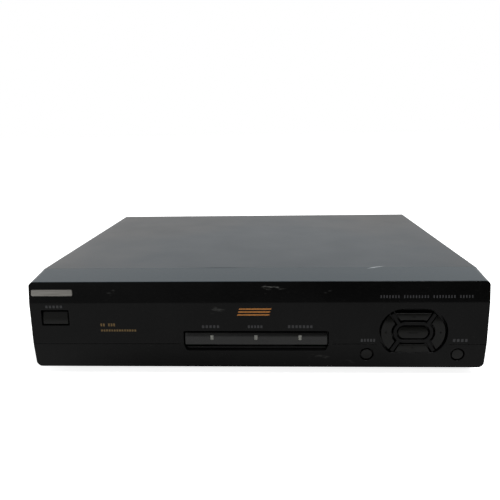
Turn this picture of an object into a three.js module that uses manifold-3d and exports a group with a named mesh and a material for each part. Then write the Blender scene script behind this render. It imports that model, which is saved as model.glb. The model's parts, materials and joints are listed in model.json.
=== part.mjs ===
// Satellite television receiver: a low black set-top box with a moulded fascia, eight push buttons,
// an indicator bar over a card slot, a sheet-steel case and a row of sockets at the back.
// Units are millimetres, +Z is up, the front faces -Y, and the origin is on the table below the middle.
import * as THREE from "three";
import { mergeVertices } from "three/addons/utils/BufferGeometryUtils.js";
import Module from "manifold-3d";

const wasm = await Module();
wasm.setup();

// Driving sizes of the case
const seat = 0.3; // gap left wherever one piece rests on another
const overrun = 1; // how far a cutting shape runs past the face it cuts
const panelWidth = 360; // across the fascia
const caseDepth = 293; // main front face to the back edge of the cover
const footHeight = 7.5; // table to the underside of the fascia
const sideOverhang = 0.7; // the fascia is this much wider than the cover on each side

const fascia = {
  wall: 2.5,
  lowFace: 21, // height of the face that slopes back towards the table
  mainFace: 34, // height of the upright face
  bandFace: 16.8, // height of the top band, which leans back
  lipRise: 3.7, // climb of the lip from the top band to the cover
  lowSetback: 3,
  bandSetback: 2.5,
  lipDepth: 30,
  cornerRadius: 4,
};
const cover = {
  sheet: 0.8,
  bendRadius: 2.5,
  lowerEdge: 1,
  tongueReach: 9,
  tongueInset: 14,
  backLip: 11,
  ventCount: 16,
  ventWidth: 2.6,
  ventHeight: 24,
  ventPitch: 7,
  ventFromBack: 42,
  ventAboveEdge: 26,
};
const pan = {
  sheet: 1,
  rise: 0.8, // underside of the pan above the underside of the fascia
  sideFlange: 13,
  endFlange: 7,
  ventCount: 12,
  ventWidth: 3,
  ventLength: 46,
  ventPitch: 9,
  ventFromBack: 70,
  tabWidth: 16,
  tabLength: 9,
  tabThick: 2,
  tabFromSide: 62,
  tabPlay: 0.6,
};
const backPanel = {
  sheet: 0.8,
  holePlay: 0.5,
  ventCount: 13,
  ventWidth: 2.6,
  ventHeight: 17,
  ventPitch: 5.6,
  ventFromSide: 18,
  ventFromTop: 14,
};
const boardThick = 1.6;
const standoff = { height: 8, radius: 3.2, inset: 9 };

// Front controls
const travel = 0.7; // how far a button goes in
const button = { flangeThick: 1.2, flangeReach: 1.2, stemRadius: 2 };
const power = {
  width: 20.2,
  height: 10.6,
  corner: 0.8,
  fromSide: 20.3,
  aboveCrease: 21.9,
  play: 1.1,
  sunk: 0.5,
};
const round = { radius: 4.7, play: 0.8, sunk: 0.2, riseShare: 0.5667, besideCluster: 35.4 };
const cluster = {
  fromSide: 57.1,
  aboveCrease: 9.4,
  halfStraight: 6.8, // half the straight part of every oval in the cluster
  recessRadius: 19.5,
  recessPlay: 1, // between the edge of the recess and the buttons in it
  flatDrop: 16.8, // the recess ends in a straight edge this far below its centre
  rimOuter: 9.7, // the fixed rim round the middle button
  rimInner: 6,
  play: 0.7,
  webDepth: 1.6, // the rim and spokes sit this far behind the main face
  webThick: 2.5,
  keyDepth: 1.2,
  spokeWidth: 2.8,
  spokeAngle: 58,
};
const lens = {
  besideRound: 31.1, // from its end to the middle of the round button
  height: 9.7,
  belowCrease: 0.2,
  play: 0.9,
  sunk: 0.8,
  flangeThick: 1.5,
  flangeReach: 2.6,
  windowWidth: 2.6,
  windowHeight: 4.5,
  windowPlay: 0.3,
  windowPitchShare: 0.6188, // of half its width
  windowRaise: 0.8,
};
const scoop = {
  lowEdge: 6,
  midDrop: 3.2,
  depth: 3.6,
  endSlope: 3,
  wallBehind: 1.6,
  sideWall: 2.2,
  footDrop: 2.4,
};
const card = { width: 54, thick: 0.8 };
const slot = { sidePlay: 1.5, topPlay: 1 }; // round the card
const badge = { width: 33, height: 5, thick: 0.6, fromSide: 19, aboveCrease: 8.4, corner: 1.2 };

// Control board behind the fascia
const frontBoard = {
  setback: 17,
  endGap: 3.5,
  lowEdge: 5,
  height: 47,
  postRadius: 3,
  pinRadius: 1.1,
  pinReach: 1.2,
};
const frontPost = { inset: 4, lowRise: 5, drop: 6, besideLens: 9.6, powerGap: 8, aboveRound: 1 };
const tact = {
  size: 6,
  height: 3.5,
  plungerRadius: 1.75,
  plungerOut: 1,
  plungerLength: 3,
  play: 0.3,
  endPlay: 0.4,
};
const led = { radius: 1.5, rimRadius: 1.95, rimThick: 1, length: 5.6 };
const guide = { barHeight: 3.6, barThick: 2, barGap: 1.4, stubPlay: 0.4 };
const infrared = { width: 7, height: 7.5, depth: 4.4, domeRadius: 2.4 };

// Card reader
const reader = { sideWall: 3.6, cardPlay: 0.4, depth: 76, lidThick: 1.8, endWall: 4, lidInset: 1.5 };
const readerNotch = { play: 1.6, topPlay: 0.9 };

// Electronics
const mainBoard = { frontGap: 4, backGap: 3, sideGap: 6, besidePower: 6.4 };
const tallestPart = 11.2; // tallest soldered part on either board
const smallCan = { radius: 3.2, height: 11.2, sunk: 0.5 };
const powerBoard = { width: 92, depth: 176, sideGap: 6 };
const axisRise = 10; // socket axes above the top of the boards
const tuner = { width: 42, depth: 66, height: 17, sideGap: 12 };
const canWall = 0.6;
const canSplitShare = 0.35; // how far along its depth a can's screening wall stands
const modulator = { width: 50, depth: 58, height: 19, besideTuner: 7, nipplePitch: 23 };
const nipple = { radius: 4.75, out: 11, nutAcross: 11.1, nutThick: 2.4, boreRadius: 0.8, boreDepth: 6 };
const phono = {
  pitch: 14.5,
  radius: 4.15,
  out: 8.5,
  boreRadius: 1.6,
  boreDepth: 7,
  rimRadius: 5.4,
  seatDepth: 6,
};
const avBlock = { depth: 14, height: 16, sideWall: 2.6, besideSvideo: 2.5 };
const svideo = {
  radius: 6.2,
  out: 1.2,
  grooveOuter: 4.7,
  grooveInner: 3.8,
  grooveDepth: 3,
  body: 14,
  depth: 13,
  besideModulator: 2,
};
const phone = {
  width: 13,
  height: 14,
  depth: 15,
  out: 0.8,
  mouthWidth: 10,
  mouthHeight: 7,
  mouthDepth: 11,
  besideAv: 3,
};
const dataPort = {
  flangeWidth: 31,
  flangeHeight: 12.5,
  flangeThick: 1.2,
  shellWidth: 17,
  shellHeight: 8.4,
  shellOut: 6,
  bodyDepth: 9,
  postRadius: 2.6,
  postSpread: 12.5,
  postOut: 4.4,
  besidePhone: 6,
};
const gland = {
  capRadius: 8.4,
  capThick: 3,
  neckRadius: 6.2,
  neckLength: 9,
  boreRadius: 3.9,
  fromSide: 34,
};
const transformer = { width: 46, depth: 38, height: 34, coilWidth: 26, coilBulge: 5 };
const heatSink = { width: 52, height: 32, base: 3, fins: 6, finThick: 1.6, finReach: 14 };
const capacitor = { radius: 11, height: 30 };
// Places on the power board, as shares of its width and of its depth from the front
const transformerShare = [0.5, 0.1932];
const heatSinkShare = [0.5, 0.5682];
const capacitorShare = [0.8043, 0.4091];
const harness = { width: 13, thick: 1.4, rise: 9, plugHeight: 7, plugDepth: 6, fromFront: 20.5 };
const ribbon = {
  width: 26,
  thick: 1,
  plugHeight: 6,
  plugDepth: 5,
  plugRise: 10,
  reach: 20,
  besideReader: 8, // between the card reader and the ribbon's edge
};

// Fasteners and feet
const screw = {
  headRadius: 3.5,
  headHeight: 1.8,
  shaftRadius: 1.5,
  grip: 5,
  crossWidth: 0.9,
  crossLength: 3.6,
  crossDepth: 1,
};
const screwPlace = { rise: 6.5, sideFront: 34, sideBack: 32, backDrop: 5.6, backFromSide: 58 };
const screwPlay = 0.4;
const foot = {
  topRadius: 11,
  baseRadius: 9.6,
  dishRadius: 4.2,
  dishDepth: 3.4,
  rivetRadius: 2.4,
  rivetReach: 1.6,
  fromSide: 36,
  fromFront: 52,
  fromBack: 38,
};

// Sides of round shapes
const fine = 32;
const medium = 20;
const coarse = 12;
const hexagonal = 6;
const arcSteps = 6;

// Levels and planes worked out from the driving sizes, measured from the fascia's underside and main face
const mainTop = fascia.lowFace + fascia.mainFace;
const bandTop = mainTop + fascia.bandFace;
const caseHeight = bandTop + fascia.lipRise;
const lipSlope = fascia.lipRise / (fascia.lipDepth - fascia.bandSetback);
const halfPanel = panelWidth / 2;
const halfCover = halfPanel - sideOverhang;
const halfPan = halfCover - cover.sheet - seat;
const caseFront = fascia.lipDepth + seat;
const panTop = pan.rise + pan.sheet;
const tabX = halfPanel - pan.tabFromSide;
const boardLow = panTop + standoff.height + seat;
const boardTop = boardLow + boardThick;
const panelBack = caseDepth - cover.sheet - seat; // outer face of the back panel
const panelInner = panelBack - backPanel.sheet;
const panBack = panelInner - seat;
const axisHeight = boardTop + axisRise;
const overallDepth = panelBack + nipple.out;
const powerX = -halfPanel + power.fromSide;
const powerZ = fascia.lowFace + power.aboveCrease;
const clusterX = halfPanel - cluster.fromSide;
const clusterZ = fascia.lowFace + cluster.aboveCrease;
const keyOuter = cluster.recessRadius - cluster.recessPlay;
const keyFlat = cluster.flatDrop - cluster.recessPlay; // straight edge of the up and down buttons
const roundZ = round.riseShare * fascia.lowFace;
const roundFlange = round.radius + round.play + button.flangeReach;
const lensHalf = clusterX - round.besideCluster - lens.besideRound;
const windowPitch = lens.windowPitchShare * lensHalf;
const lensLow = fascia.lowFace - lens.belowCrease;
const lensTop = lensLow + lens.height;
const windowZ = lensLow + lens.height / 2 + lens.windowRaise;
const slotHalf = card.width / 2 + slot.sidePlay;
const cardLevel = lensLow - card.thick - slot.topPlay;
const channelHalf = card.width / 2 + reader.cardPlay;
const readerHalf = channelHalf + reader.sideWall;
const ribbonX = readerHalf + ribbon.besideReader + ribbon.width / 2;
const plungerTip = frontBoard.setback - tact.height - tact.plungerOut;

// Materials
function finish(color, roughness, metalness) {
  return new THREE.MeshStandardMaterial({ color, roughness, metalness });
}
const blackPlastic = finish(0x1b1c1c, 0.42, 0);
const keyPlastic = finish(0x232424, 0.5, 0);
const smokedPlastic = finish(0x2a2a29, 0.25, 0);
const clearPlastic = finish(0xb9bab6, 0.3, 0);
const badgeMetal = finish(0xb4b2ab, 0.35, 0.9);
const paintedSteel = finish(0x35383a, 0.5, 0.3);
const zincSteel = finish(0xa3a6a4, 0.4, 0.9);
const tinPlate = finish(0xc0c1be, 0.3, 0.95);
const nickel = finish(0xc9c5b8, 0.25, 0.95);
const circuitBoard = finish(0x2c5a34, 0.6, 0);
const componentBlack = finish(0x151515, 0.5, 0);
const coreSteel = finish(0x6b6862, 0.5, 0.7);
const sleeveBlue = finish(0x1f2d4a, 0.4, 0);
const cableGrey = finish(0x8d8e8c, 0.6, 0);
const rubber = finish(0x141414, 0.85, 0);
const blackScrew = finish(0x222222, 0.35, 0.8);

// A closed surface as a solid that can be cut and joined
function solid(geometry) {
  const bare = geometry.clone();
  bare.deleteAttribute("normal");
  bare.deleteAttribute("uv");
  const merged = mergeVertices(bare);
  const corners = [];
  for (let i = 0; i < merged.index.count; i += 3) {
    const [a, b, c] = [0, 1, 2].map((k) => merged.index.array[i + k]);
    if (a !== b && b !== c && c !== a) corners.push(a, b, c);
  }
  return new wasm.Manifold(
    new wasm.Mesh({
      numProp: 3,
      vertProperties: merged.attributes.position.array,
      triVerts: new Uint32Array(corners),
    }),
  );
}

function geometryOf(shape) {
  const mesh = shape.getMesh();
  const geometry = new THREE.BufferGeometry();
  geometry.setAttribute("position", new THREE.BufferAttribute(new Float32Array(mesh.vertProperties), 3));
  geometry.setIndex(new THREE.BufferAttribute(new Uint32Array(mesh.triVerts), 1));
  geometry.computeVertexNormals();
  return geometry;
}

const join = (...shapes) => shapes.reduce((a, b) => a.add(b));
const cut = (shape, ...tools) => tools.reduce((a, b) => a.subtract(b), shape);

function block([x0, x1], [y0, y1], [z0, z1]) {
  const geometry = new THREE.BoxGeometry(x1 - x0, y1 - y0, z1 - z0);
  return solid(geometry.translate((x0 + x1) / 2, (y0 + y1) / 2, (z0 + z1) / 2));
}

// A flat outline carried along one axis: (x, z) outlines along y, (y, z) outlines along x, (x, y) along z
function prism(outline, depth, steps) {
  return new THREE.ExtrudeGeometry(outline, { depth, bevelEnabled: false, curveSegments: steps });
}
const alongY = (outline, y0, y1, steps = arcSteps) =>
  solid(prism(outline, y1 - y0, steps).rotateX(Math.PI / 2).translate(0, y1, 0));
const alongZ = (outline, z0, z1, steps = arcSteps) =>
  solid(prism(outline, z1 - z0, steps).translate(0, 0, z0));
const turnedToX = new THREE.Matrix4().makeBasis(
  new THREE.Vector3(0, 1, 0),
  new THREE.Vector3(0, 0, 1),
  new THREE.Vector3(1, 0, 0),
);
const alongX = (outline, x0, x1, steps = arcSteps) =>
  solid(prism(outline, x1 - x0, steps).applyMatrix4(turnedToX).translate(x0, 0, 0));

function rodY(radius, y0, y1, x = 0, z = 0, sides = medium) {
  return solid(new THREE.CylinderGeometry(radius, radius, y1 - y0, sides).translate(x, (y0 + y1) / 2, z));
}
function rodZ(radius, z0, z1, x = 0, y = 0, sides = medium) {
  const upright = new THREE.CylinderGeometry(radius, radius, z1 - z0, sides).rotateX(Math.PI / 2);
  return solid(upright.translate(x, y, (z0 + z1) / 2));
}
function rodX(radius, x0, x1, y = 0, z = 0, sides = medium) {
  const lying = new THREE.CylinderGeometry(radius, radius, x1 - x0, sides).rotateZ(Math.PI / 2);
  return solid(lying.translate((x0 + x1) / 2, y, z));
}
// A profile of (radius, height) points turned about Z
function turned(points, sides = fine) {
  const profile = points.map(([r, z]) => new THREE.Vector2(r, z));
  return solid(new THREE.LatheGeometry(profile, sides).rotateX(Math.PI / 2));
}

// Outlines
const polygon = (points) => new THREE.Shape(points.map(([u, v]) => new THREE.Vector2(u, v)));

function roundedBox(width, height, radius, x = 0, z = 0) {
  const [w, h] = [width / 2 - radius, height / 2 - radius];
  const outline = new THREE.Shape();
  outline.absarc(x + w, z - h, radius, -Math.PI / 2, 0, false);
  outline.absarc(x + w, z + h, radius, 0, Math.PI / 2, false);
  outline.absarc(x - w, z + h, radius, Math.PI / 2, Math.PI, false);
  outline.absarc(x - w, z - h, radius, Math.PI, 1.5 * Math.PI, false);
  outline.closePath();
  return outline;
}

function oval(halfStraight, radius, x = 0, z = 0) {
  const outline = new THREE.Shape();
  outline.absarc(x + halfStraight, z, radius, -Math.PI / 2, Math.PI / 2, false);
  outline.absarc(x - halfStraight, z, radius, Math.PI / 2, 1.5 * Math.PI, false);
  outline.closePath();
  return outline;
}

// A row of slots, each a block of the same size, spaced along one axis
const slots = (count, pitch, place) =>
  Array.from({ length: count }, (_, i) => place((i - (count - 1) / 2) * pitch)).reduce((a, b) => a.add(b));

// Front face of the fascia at height z, and the inner face behind it
const lowFaceY = (z) => fascia.lowSetback * (1 - z / fascia.lowFace);
const innerY = (z) => Math.max(0, lowFaceY(z)) + fascia.wall;

// Tubes between rings of points: each section is a list of [x, y, z], all of one length
function loft(sections) {
  const [rings, count] = [sections.length, sections[0].length];
  const positions = sections.flat(2);
  const index = [];
  for (let i = 0; i + 1 < rings; i++) {
    for (let j = 0; j < count; j++) {
      const [a, b] = [i * count + j, i * count + ((j + 1) % count)];
      index.push(a, b, b + count, a, b + count, a + count);
    }
  }
  for (let j = 1; j + 1 < count; j++) {
    index.push(0, j + 1, j);
    const last = (rings - 1) * count;
    index.push(last, last + j, last + j + 1);
  }
  const geometry = new THREE.BufferGeometry();
  geometry.setAttribute("position", new THREE.Float32BufferAttribute(positions, 3));
  geometry.setIndex(index);
  return solid(geometry);
}

// Front moulding: a shallow cap, open at the back, with the rim and spokes of the cluster in it
function fasciaShape() {
  const outer = alongX(
    polygon([
      [fascia.lowSetback, 0],
      [fascia.lipDepth, 0],
      [fascia.lipDepth, caseHeight],
      [fascia.bandSetback, bandTop],
      [0, mainTop],
      [0, fascia.lowFace],
    ]),
    -halfPanel,
    halfPanel,
  );
  // The four long edges are rounded, and the upper two climb with the lip
  const section = (y) => {
    const top = caseHeight - (fascia.lipDepth - y) * lipSlope;
    const points = roundedBox(panelWidth, top, fascia.cornerRadius, 0, top / 2).getPoints(arcSteps);
    points.pop();
    return points.map((p) => [p.x, y, p.y]);
  };
  const rounded = loft([section(fascia.lipDepth + overrun), section(-overrun)]);
  const backY = fascia.lipDepth + overrun;
  const innerLip = bandTop - fascia.wall;
  const innerLipY = fascia.bandSetback + fascia.wall;
  const inner = alongX(
    polygon([
      [innerY(fascia.wall), fascia.wall],
      [backY, fascia.wall],
      [backY, innerLip + (backY - innerLipY) * lipSlope],
      [innerLipY, innerLip],
      [fascia.wall, mainTop],
      [fascia.wall, fascia.lowFace],
    ]),
    -halfPanel + fascia.wall,
    halfPanel - fascia.wall,
  );
  let shell = cut(outer.intersect(rounded), inner);
  shell = join(cut(shell, recessShape(cluster.recessRadius, -overrun, backY)), webShape());
  const powerHole = roundedBox(
    power.width + 2 * power.play,
    power.height + 2 * power.play,
    power.corner,
    powerX,
    powerZ,
  );
  shell = cut(shell, alongY(powerHole, -overrun, backY));
  for (const side of [-1, 1]) {
    const x = clusterX + side * round.besideCluster;
    shell = cut(shell, rodY(round.radius + round.play, -overrun, backY, x, roundZ, fine));
  }
  shell = scoopShape(shell);
  for (const [x, z] of postPlaces()) {
    const postEnd = frontBoard.setback - seat;
    const pinEnd = frontBoard.setback + boardThick + frontBoard.pinReach;
    shell = join(
      shell,
      rodY(
        frontBoard.postRadius,
        fascia.wall / 2 + lowFaceY(Math.min(z, fascia.lowFace)),
        postEnd,
        x,
        z,
        coarse,
      ),
      rodY(frontBoard.pinRadius, postEnd - overrun, pinEnd, x, z, coarse),
    );
  }
  for (const x of [-tabX, 0, tabX]) {
    const tabLow = panTop + seat;
    shell = join(
      shell,
      block(
        [x - pan.tabWidth / 2, x + pan.tabWidth / 2],
        [fascia.lipDepth - pan.tabLength, fascia.lipDepth + pan.tabLength],
        [tabLow, tabLow + pan.tabThick],
      ),
    );
  }
  return shell;
}

// Outline of the cluster's recess: an oval whose bottom is cut straight
function recessShape(radius, y0, y1) {
  const flat = clusterZ - cluster.flatDrop - (radius - cluster.recessRadius);
  const span = cluster.halfStraight + radius;
  const keep = block([clusterX - span, clusterX + span], [y0, y1], [flat, clusterZ + radius]);
  return alongY(oval(cluster.halfStraight, radius, clusterX, clusterZ), y0, y1).intersect(keep);
}

// Fixed rim of the cluster with its four spokes
function webShape() {
  const [front, back] = [cluster.webDepth, cluster.webDepth + cluster.webThick];
  const rim = alongY(oval(cluster.halfStraight, cluster.rimOuter, clusterX, clusterZ), front, back);
  const reach = recessShape(cluster.recessRadius + overrun, front, back);
  const web = join(rim, spokes(cluster.spokeWidth, front, back).intersect(reach));
  return cut(
    web,
    alongY(oval(cluster.halfStraight, cluster.rimInner, clusterX, clusterZ), 0, back + overrun),
  );
}

// Four bars that leave the centres of the oval's ends
function spokes(width, y0, y1) {
  const reach = 2 * cluster.recessRadius;
  const bars = [];
  for (const side of [-1, 1]) {
    for (const up of [-1, 1]) {
      const angle = up * THREE.MathUtils.degToRad(cluster.spokeAngle);
      const bar = new THREE.BoxGeometry(reach, y1 - y0, width).translate(reach / 2, (y0 + y1) / 2, 0);
      bar.rotateY(side > 0 ? -angle : Math.PI + angle);
      bars.push(solid(bar.translate(clusterX + side * cluster.halfStraight, 0, clusterZ)));
    }
  }
  return join(...bars);
}

// Hole for the indicator bar, and under it a sloping thumb scoop that ends at the sill of the card slot
function scoopShape(shell) {
  const holeHalf = lensHalf + lens.play;
  const scoopLow = fascia.lowFace - scoop.lowEdge;
  const blockTop = lensLow - seat;
  const blockBack = scoop.depth + scoop.wallBehind;
  const blockHalf = holeHalf + scoop.sideWall;
  const backing = alongX(
    polygon([
      [lowFaceY(scoopLow - scoop.footDrop) + fascia.wall / 2, scoopLow - scoop.footDrop],
      [blockBack, scoopLow - scoop.footDrop],
      [blockBack, blockTop],
      [fascia.wall / 2, blockTop],
    ]),
    -blockHalf,
    blockHalf,
  );
  const open = alongX(
    polygon([
      [-overrun, scoopLow],
      [lowFaceY(scoopLow), scoopLow],
      [scoop.depth / 2 + lowFaceY(scoopLow) / 2, fascia.lowFace - scoop.midDrop],
      [scoop.depth, cardLevel],
      [scoop.depth, lensLow],
      [-overrun, lensLow],
    ]),
    -holeHalf,
    holeHalf,
  );
  // The ends of the scoop slope inwards as they go down
  const ends = alongY(
    polygon([
      [-holeHalf + scoop.endSlope, scoopLow],
      [holeHalf - scoop.endSlope, scoopLow],
      [holeHalf, fascia.lowFace - scoop.midDrop / 2],
      [holeHalf, lensTop],
      [-holeHalf, lensTop],
      [-holeHalf, fascia.lowFace - scoop.midDrop / 2],
    ]),
    -2 * overrun,
    blockBack + overrun,
  );
  const hole = block(
    [-holeHalf, holeHalf],
    [-overrun, blockBack + overrun],
    [blockTop, lensTop + lens.play],
  );
  const cardSlot = block([-slotHalf, slotHalf], [0, blockBack + overrun], [cardLevel, lensLow]);
  return cut(join(cut(shell, hole), backing), open.intersect(ends), cardSlot);
}

// Posts that carry the control board, kept clear of the buttons
function postPlaces() {
  const half = halfPanel - fascia.wall - frontBoard.endGap;
  const low = frontBoard.lowEdge + frontPost.lowRise;
  const high = frontBoard.lowEdge + frontBoard.height - frontPost.drop;
  const powerSide = powerX + power.width / 2 + frontPost.powerGap;
  const middle = lensHalf + frontPost.besideLens;
  return [
    [-half + frontPost.inset, low],
    [-middle, low],
    [middle, low],
    [half - frontPost.inset, roundZ + roundFlange + frontPost.aboveRound + frontBoard.postRadius],
    [powerSide, high],
    [-middle, high],
    [middle, high],
    [half - frontPost.inset, high],
  ];
}

// Caps: each has a face, a flange that stops it behind the fascia, and a stem that meets its switch
const stemEnd = plungerTip - seat;

function capWith(face, flange, flangeY, x, z) {
  const stem = rodY(button.stemRadius, flangeY + button.flangeThick / 2, stemEnd, x, z, coarse);
  return join(face, flange, stem);
}

function powerCap() {
  const flangeY = fascia.wall + seat;
  const face = alongY(
    roundedBox(power.width, power.height, power.corner, powerX, powerZ),
    power.sunk,
    flangeY + seat,
  );
  const reach = 2 * (power.play + button.flangeReach);
  const flangeOutline = roundedBox(power.width + reach, power.height + reach, power.corner, powerX, powerZ);
  const flange = alongY(flangeOutline, flangeY, flangeY + button.flangeThick);
  return capWith(face, flange, flangeY, powerX, powerZ);
}

function roundCap(side) {
  const x = clusterX + side * round.besideCluster;
  const flangeY = innerY(roundZ - roundFlange) + seat;
  const slant = alongX(
    polygon([
      [lowFaceY(0) + round.sunk, 0],
      [flangeY + seat, 0],
      [flangeY + seat, fascia.lowFace],
      [round.sunk, fascia.lowFace],
    ]),
    x - roundFlange,
    x + roundFlange,
  );
  const face = rodY(round.radius, -overrun, flangeY + seat, x, roundZ, fine).intersect(slant);
  const flange = rodY(roundFlange, flangeY, flangeY + button.flangeThick, x, roundZ, fine);
  return capWith(face, flange, flangeY, x, roundZ);
}

const keyMiddle = (cluster.rimOuter + cluster.recessRadius) / 2;
const keyPlaces = {
  up: [clusterX, clusterZ + keyMiddle],
  down: [clusterX, clusterZ - keyMiddle],
  left: [clusterX - cluster.halfStraight - keyMiddle, clusterZ],
  right: [clusterX + cluster.halfStraight + keyMiddle, clusterZ],
  select: [clusterX, clusterZ],
};
const lowestKey = clusterZ - keyOuter - button.flangeReach;
const keyFlangeY = Math.max(cluster.webDepth + cluster.webThick, innerY(lowestKey)) + seat;

// The ring between two ovals, parted at the spokes, as four pieces in the order that keyPlaces names them
function ringPieces(innerRadius, outerRadius, spokeWidth, y0, y1) {
  const span = cluster.halfStraight + outerRadius;
  const flat = keyFlat + outerRadius - keyOuter;
  const keep = block([clusterX - span, clusterX + span], [y0, y1], [clusterZ - flat, clusterZ + flat]);
  const ring = cut(
    alongY(oval(cluster.halfStraight, outerRadius, clusterX, clusterZ), y0, y1).intersect(keep),
    alongY(oval(cluster.halfStraight, innerRadius, clusterX, clusterZ), y0 - overrun, y1 + overrun),
    spokes(spokeWidth, y0 - overrun, y1 + overrun),
  );
  const pieces = ring.decompose();
  const nearest = ([x, z]) => {
    const away = (piece) => {
      const { min, max } = piece.boundingBox();
      return Math.hypot((min[0] + max[0]) / 2 - x, (min[2] + max[2]) / 2 - z);
    };
    return pieces.reduce((a, b) => (away(b) < away(a) ? b : a));
  };
  return Object.fromEntries(
    ["up", "down", "left", "right"].map((name) => [name, nearest(keyPlaces[name])]),
  );
}

function keyCaps() {
  const keyInner = cluster.rimOuter + cluster.play;
  const parting = cluster.spokeWidth + 2 * cluster.play;
  const faces = ringPieces(keyInner, keyOuter, parting, cluster.keyDepth, keyFlangeY + seat);
  const flanges = ringPieces(
    keyInner - button.flangeReach,
    keyOuter + button.flangeReach,
    parting - 2 * button.flangeReach,
    keyFlangeY,
    keyFlangeY + button.flangeThick,
  );
  return Object.fromEntries(
    Object.keys(faces).map(
      (name) => [name, capWith(faces[name], flanges[name], keyFlangeY, ...keyPlaces[name])],
    ),
  );
}

function selectCap() {
  const radius = cluster.rimInner - cluster.play;
  const face = alongY(
    oval(cluster.halfStraight, radius, clusterX, clusterZ),
    cluster.keyDepth,
    keyFlangeY + seat,
  );
  const flangeRadius = radius + button.flangeReach;
  const flange = alongY(
    oval(cluster.halfStraight, flangeRadius, clusterX, clusterZ),
    keyFlangeY,
    keyFlangeY + button.flangeThick,
  );
  return capWith(face, flange, keyFlangeY, clusterX, clusterZ);
}

// Indicator bar with three windows, and the clear guide whose prongs fill them
const windowXs = [-windowPitch, 0, windowPitch];

function lensShape() {
  const back = fascia.wall + seat;
  const face = block([-lensHalf, lensHalf], [lens.sunk, back + seat], [lensLow, lensTop]);
  const flangeHalf = lensHalf + lens.flangeReach;
  const flange = block(
    [-flangeHalf, flangeHalf],
    [back, back + lens.flangeThick],
    [lensLow, lensTop + lens.flangeReach],
  );
  const holeWidth = lens.windowWidth + 2 * lens.windowPlay;
  const holeHeight = lens.windowHeight + 2 * lens.windowPlay;
  const holes = windowXs.map((x) =>
    block(
      [x - holeWidth / 2, x + holeWidth / 2],
      [lens.sunk - overrun, back + lens.flangeThick + overrun],
      [windowZ - holeHeight / 2, windowZ + holeHeight / 2],
    ),
  );
  return cut(join(face, flange), ...holes);
}

function guideShape() {
  const barFront = fascia.wall + seat + lens.flangeThick + guide.barGap;
  const barBack = barFront + guide.barThick;
  const half = windowPitch + lens.windowWidth;
  const stubEnd = frontBoard.setback - led.length - guide.stubPlay;
  const bar = block(
    [-half, half],
    [barFront, barBack],
    [windowZ - guide.barHeight / 2, windowZ + guide.barHeight / 2],
  );
  const prongs = windowXs.map((x) =>
    join(
      block(
        [x - lens.windowWidth / 2, x + lens.windowWidth / 2],
        [lens.sunk, barBack],
        [windowZ - lens.windowHeight / 2, windowZ + lens.windowHeight / 2],
      ),
      rodY(led.radius, barFront, stubEnd, x, windowZ, coarse),
    ),
  );
  return join(bar, ...prongs);
}

// A plain nameplate with rounded corners
function badgeShape() {
  return alongY(roundedBox(badge.width, badge.height, badge.corner), -badge.thick, 0);
}
const bandLean = Math.atan2(fascia.bandSetback, fascia.bandFace);

// Control board with the eight switch housings soldered to it
const switchPlaces = {
  power: [powerX, powerZ],
  round_left: [clusterX - round.besideCluster, roundZ],
  round_right: [clusterX + round.besideCluster, roundZ],
  ...keyPlaces,
};

function frontBoardShape() {
  const half = halfPanel - fascia.wall - frontBoard.endGap;
  const [front, back] = [frontBoard.setback, frontBoard.setback + boardThick];
  const top = frontBoard.lowEdge + frontBoard.height;
  const notchHalf = readerHalf + readerNotch.play;
  const notchTop = lensLow + seat + reader.lidThick + readerNotch.topPlay;
  let board = cut(
    block([-half, half], [front, back], [frontBoard.lowEdge, top]),
    block(
      [-notchHalf, notchHalf],
      [front - overrun, back + overrun],
      [frontBoard.lowEdge - overrun, notchTop],
    ),
  );
  for (const [x, z] of postPlaces()) {
    board = cut(
      board,
      rodY(frontBoard.pinRadius + tact.play, front - overrun, back + overrun, x, z, coarse),
    );
  }
  for (const [x, z] of Object.values(switchPlaces)) {
    const half = tact.size / 2;
    board = join(
      board,
      block([x - half, x + half], [front - tact.height, front + boardThick / 2], [z - half, z + half]),
    );
  }
  for (const [x, z] of Object.values(switchPlaces)) {
    const boreEnd = plungerTip + tact.plungerLength + travel + tact.endPlay;
    board = cut(
      board,
      rodY(tact.plungerRadius + tact.play, front - tact.height - overrun, boreEnd, x, z, coarse),
    );
  }
  const plugZ = frontBoard.lowEdge + ribbon.plugRise;
  return join(
    board,
    block(
      [ribbonX - ribbon.width / 2, ribbonX + ribbon.width / 2],
      [back - boardThick / 2, back + ribbon.plugDepth],
      [plugZ, plugZ + ribbon.plugHeight],
    ),
  );
}

function plungerShape() {
  return rodY(tact.plungerRadius, 0, tact.plungerLength, 0, 0, coarse);
}

function ledShape() {
  return join(
    rodY(led.rimRadius, -led.rimThick, 0, 0, 0, coarse),
    rodY(led.radius, led.radius - led.length, -led.rimThick / 2, 0, 0, coarse),
    solid(new THREE.SphereGeometry(led.radius, coarse, arcSteps).translate(0, led.radius - led.length, 0)),
  );
}

function infraredShape() {
  const half = infrared.width / 2;
  const face = block([-half, half], [-infrared.depth, 0], [-infrared.height / 2, infrared.height / 2]);
  const dome = solid(new THREE.SphereGeometry(infrared.domeRadius, coarse, arcSteps));
  return join(face, dome.translate([0, -infrared.depth, 0]));
}

// Flat cables: a strip that arches in one plane, with its width carried along the other axis
function archShape(span, height, thick) {
  const outline = new THREE.Shape();
  outline.moveTo(0, 0);
  outline.bezierCurveTo(0, height, span, height, span, 0);
  outline.lineTo(span - thick, 0);
  outline.bezierCurveTo(span - thick, height - thick, thick, height - thick, thick, 0);
  outline.closePath();
  return outline;
}

// Card reader: a tray with rails beside the card, and a lid over them
const readerFront = scoop.depth + scoop.wallBehind + seat;

function readerBaseShape() {
  const back = readerFront + reader.depth;
  return cut(
    block([-readerHalf, readerHalf], [readerFront, back], [boardTop + seat, lensLow]),
    block(
      [-channelHalf, channelHalf],
      [readerFront - overrun, back - reader.endWall],
      [cardLevel, lensLow + overrun],
    ),
  );
}

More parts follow.
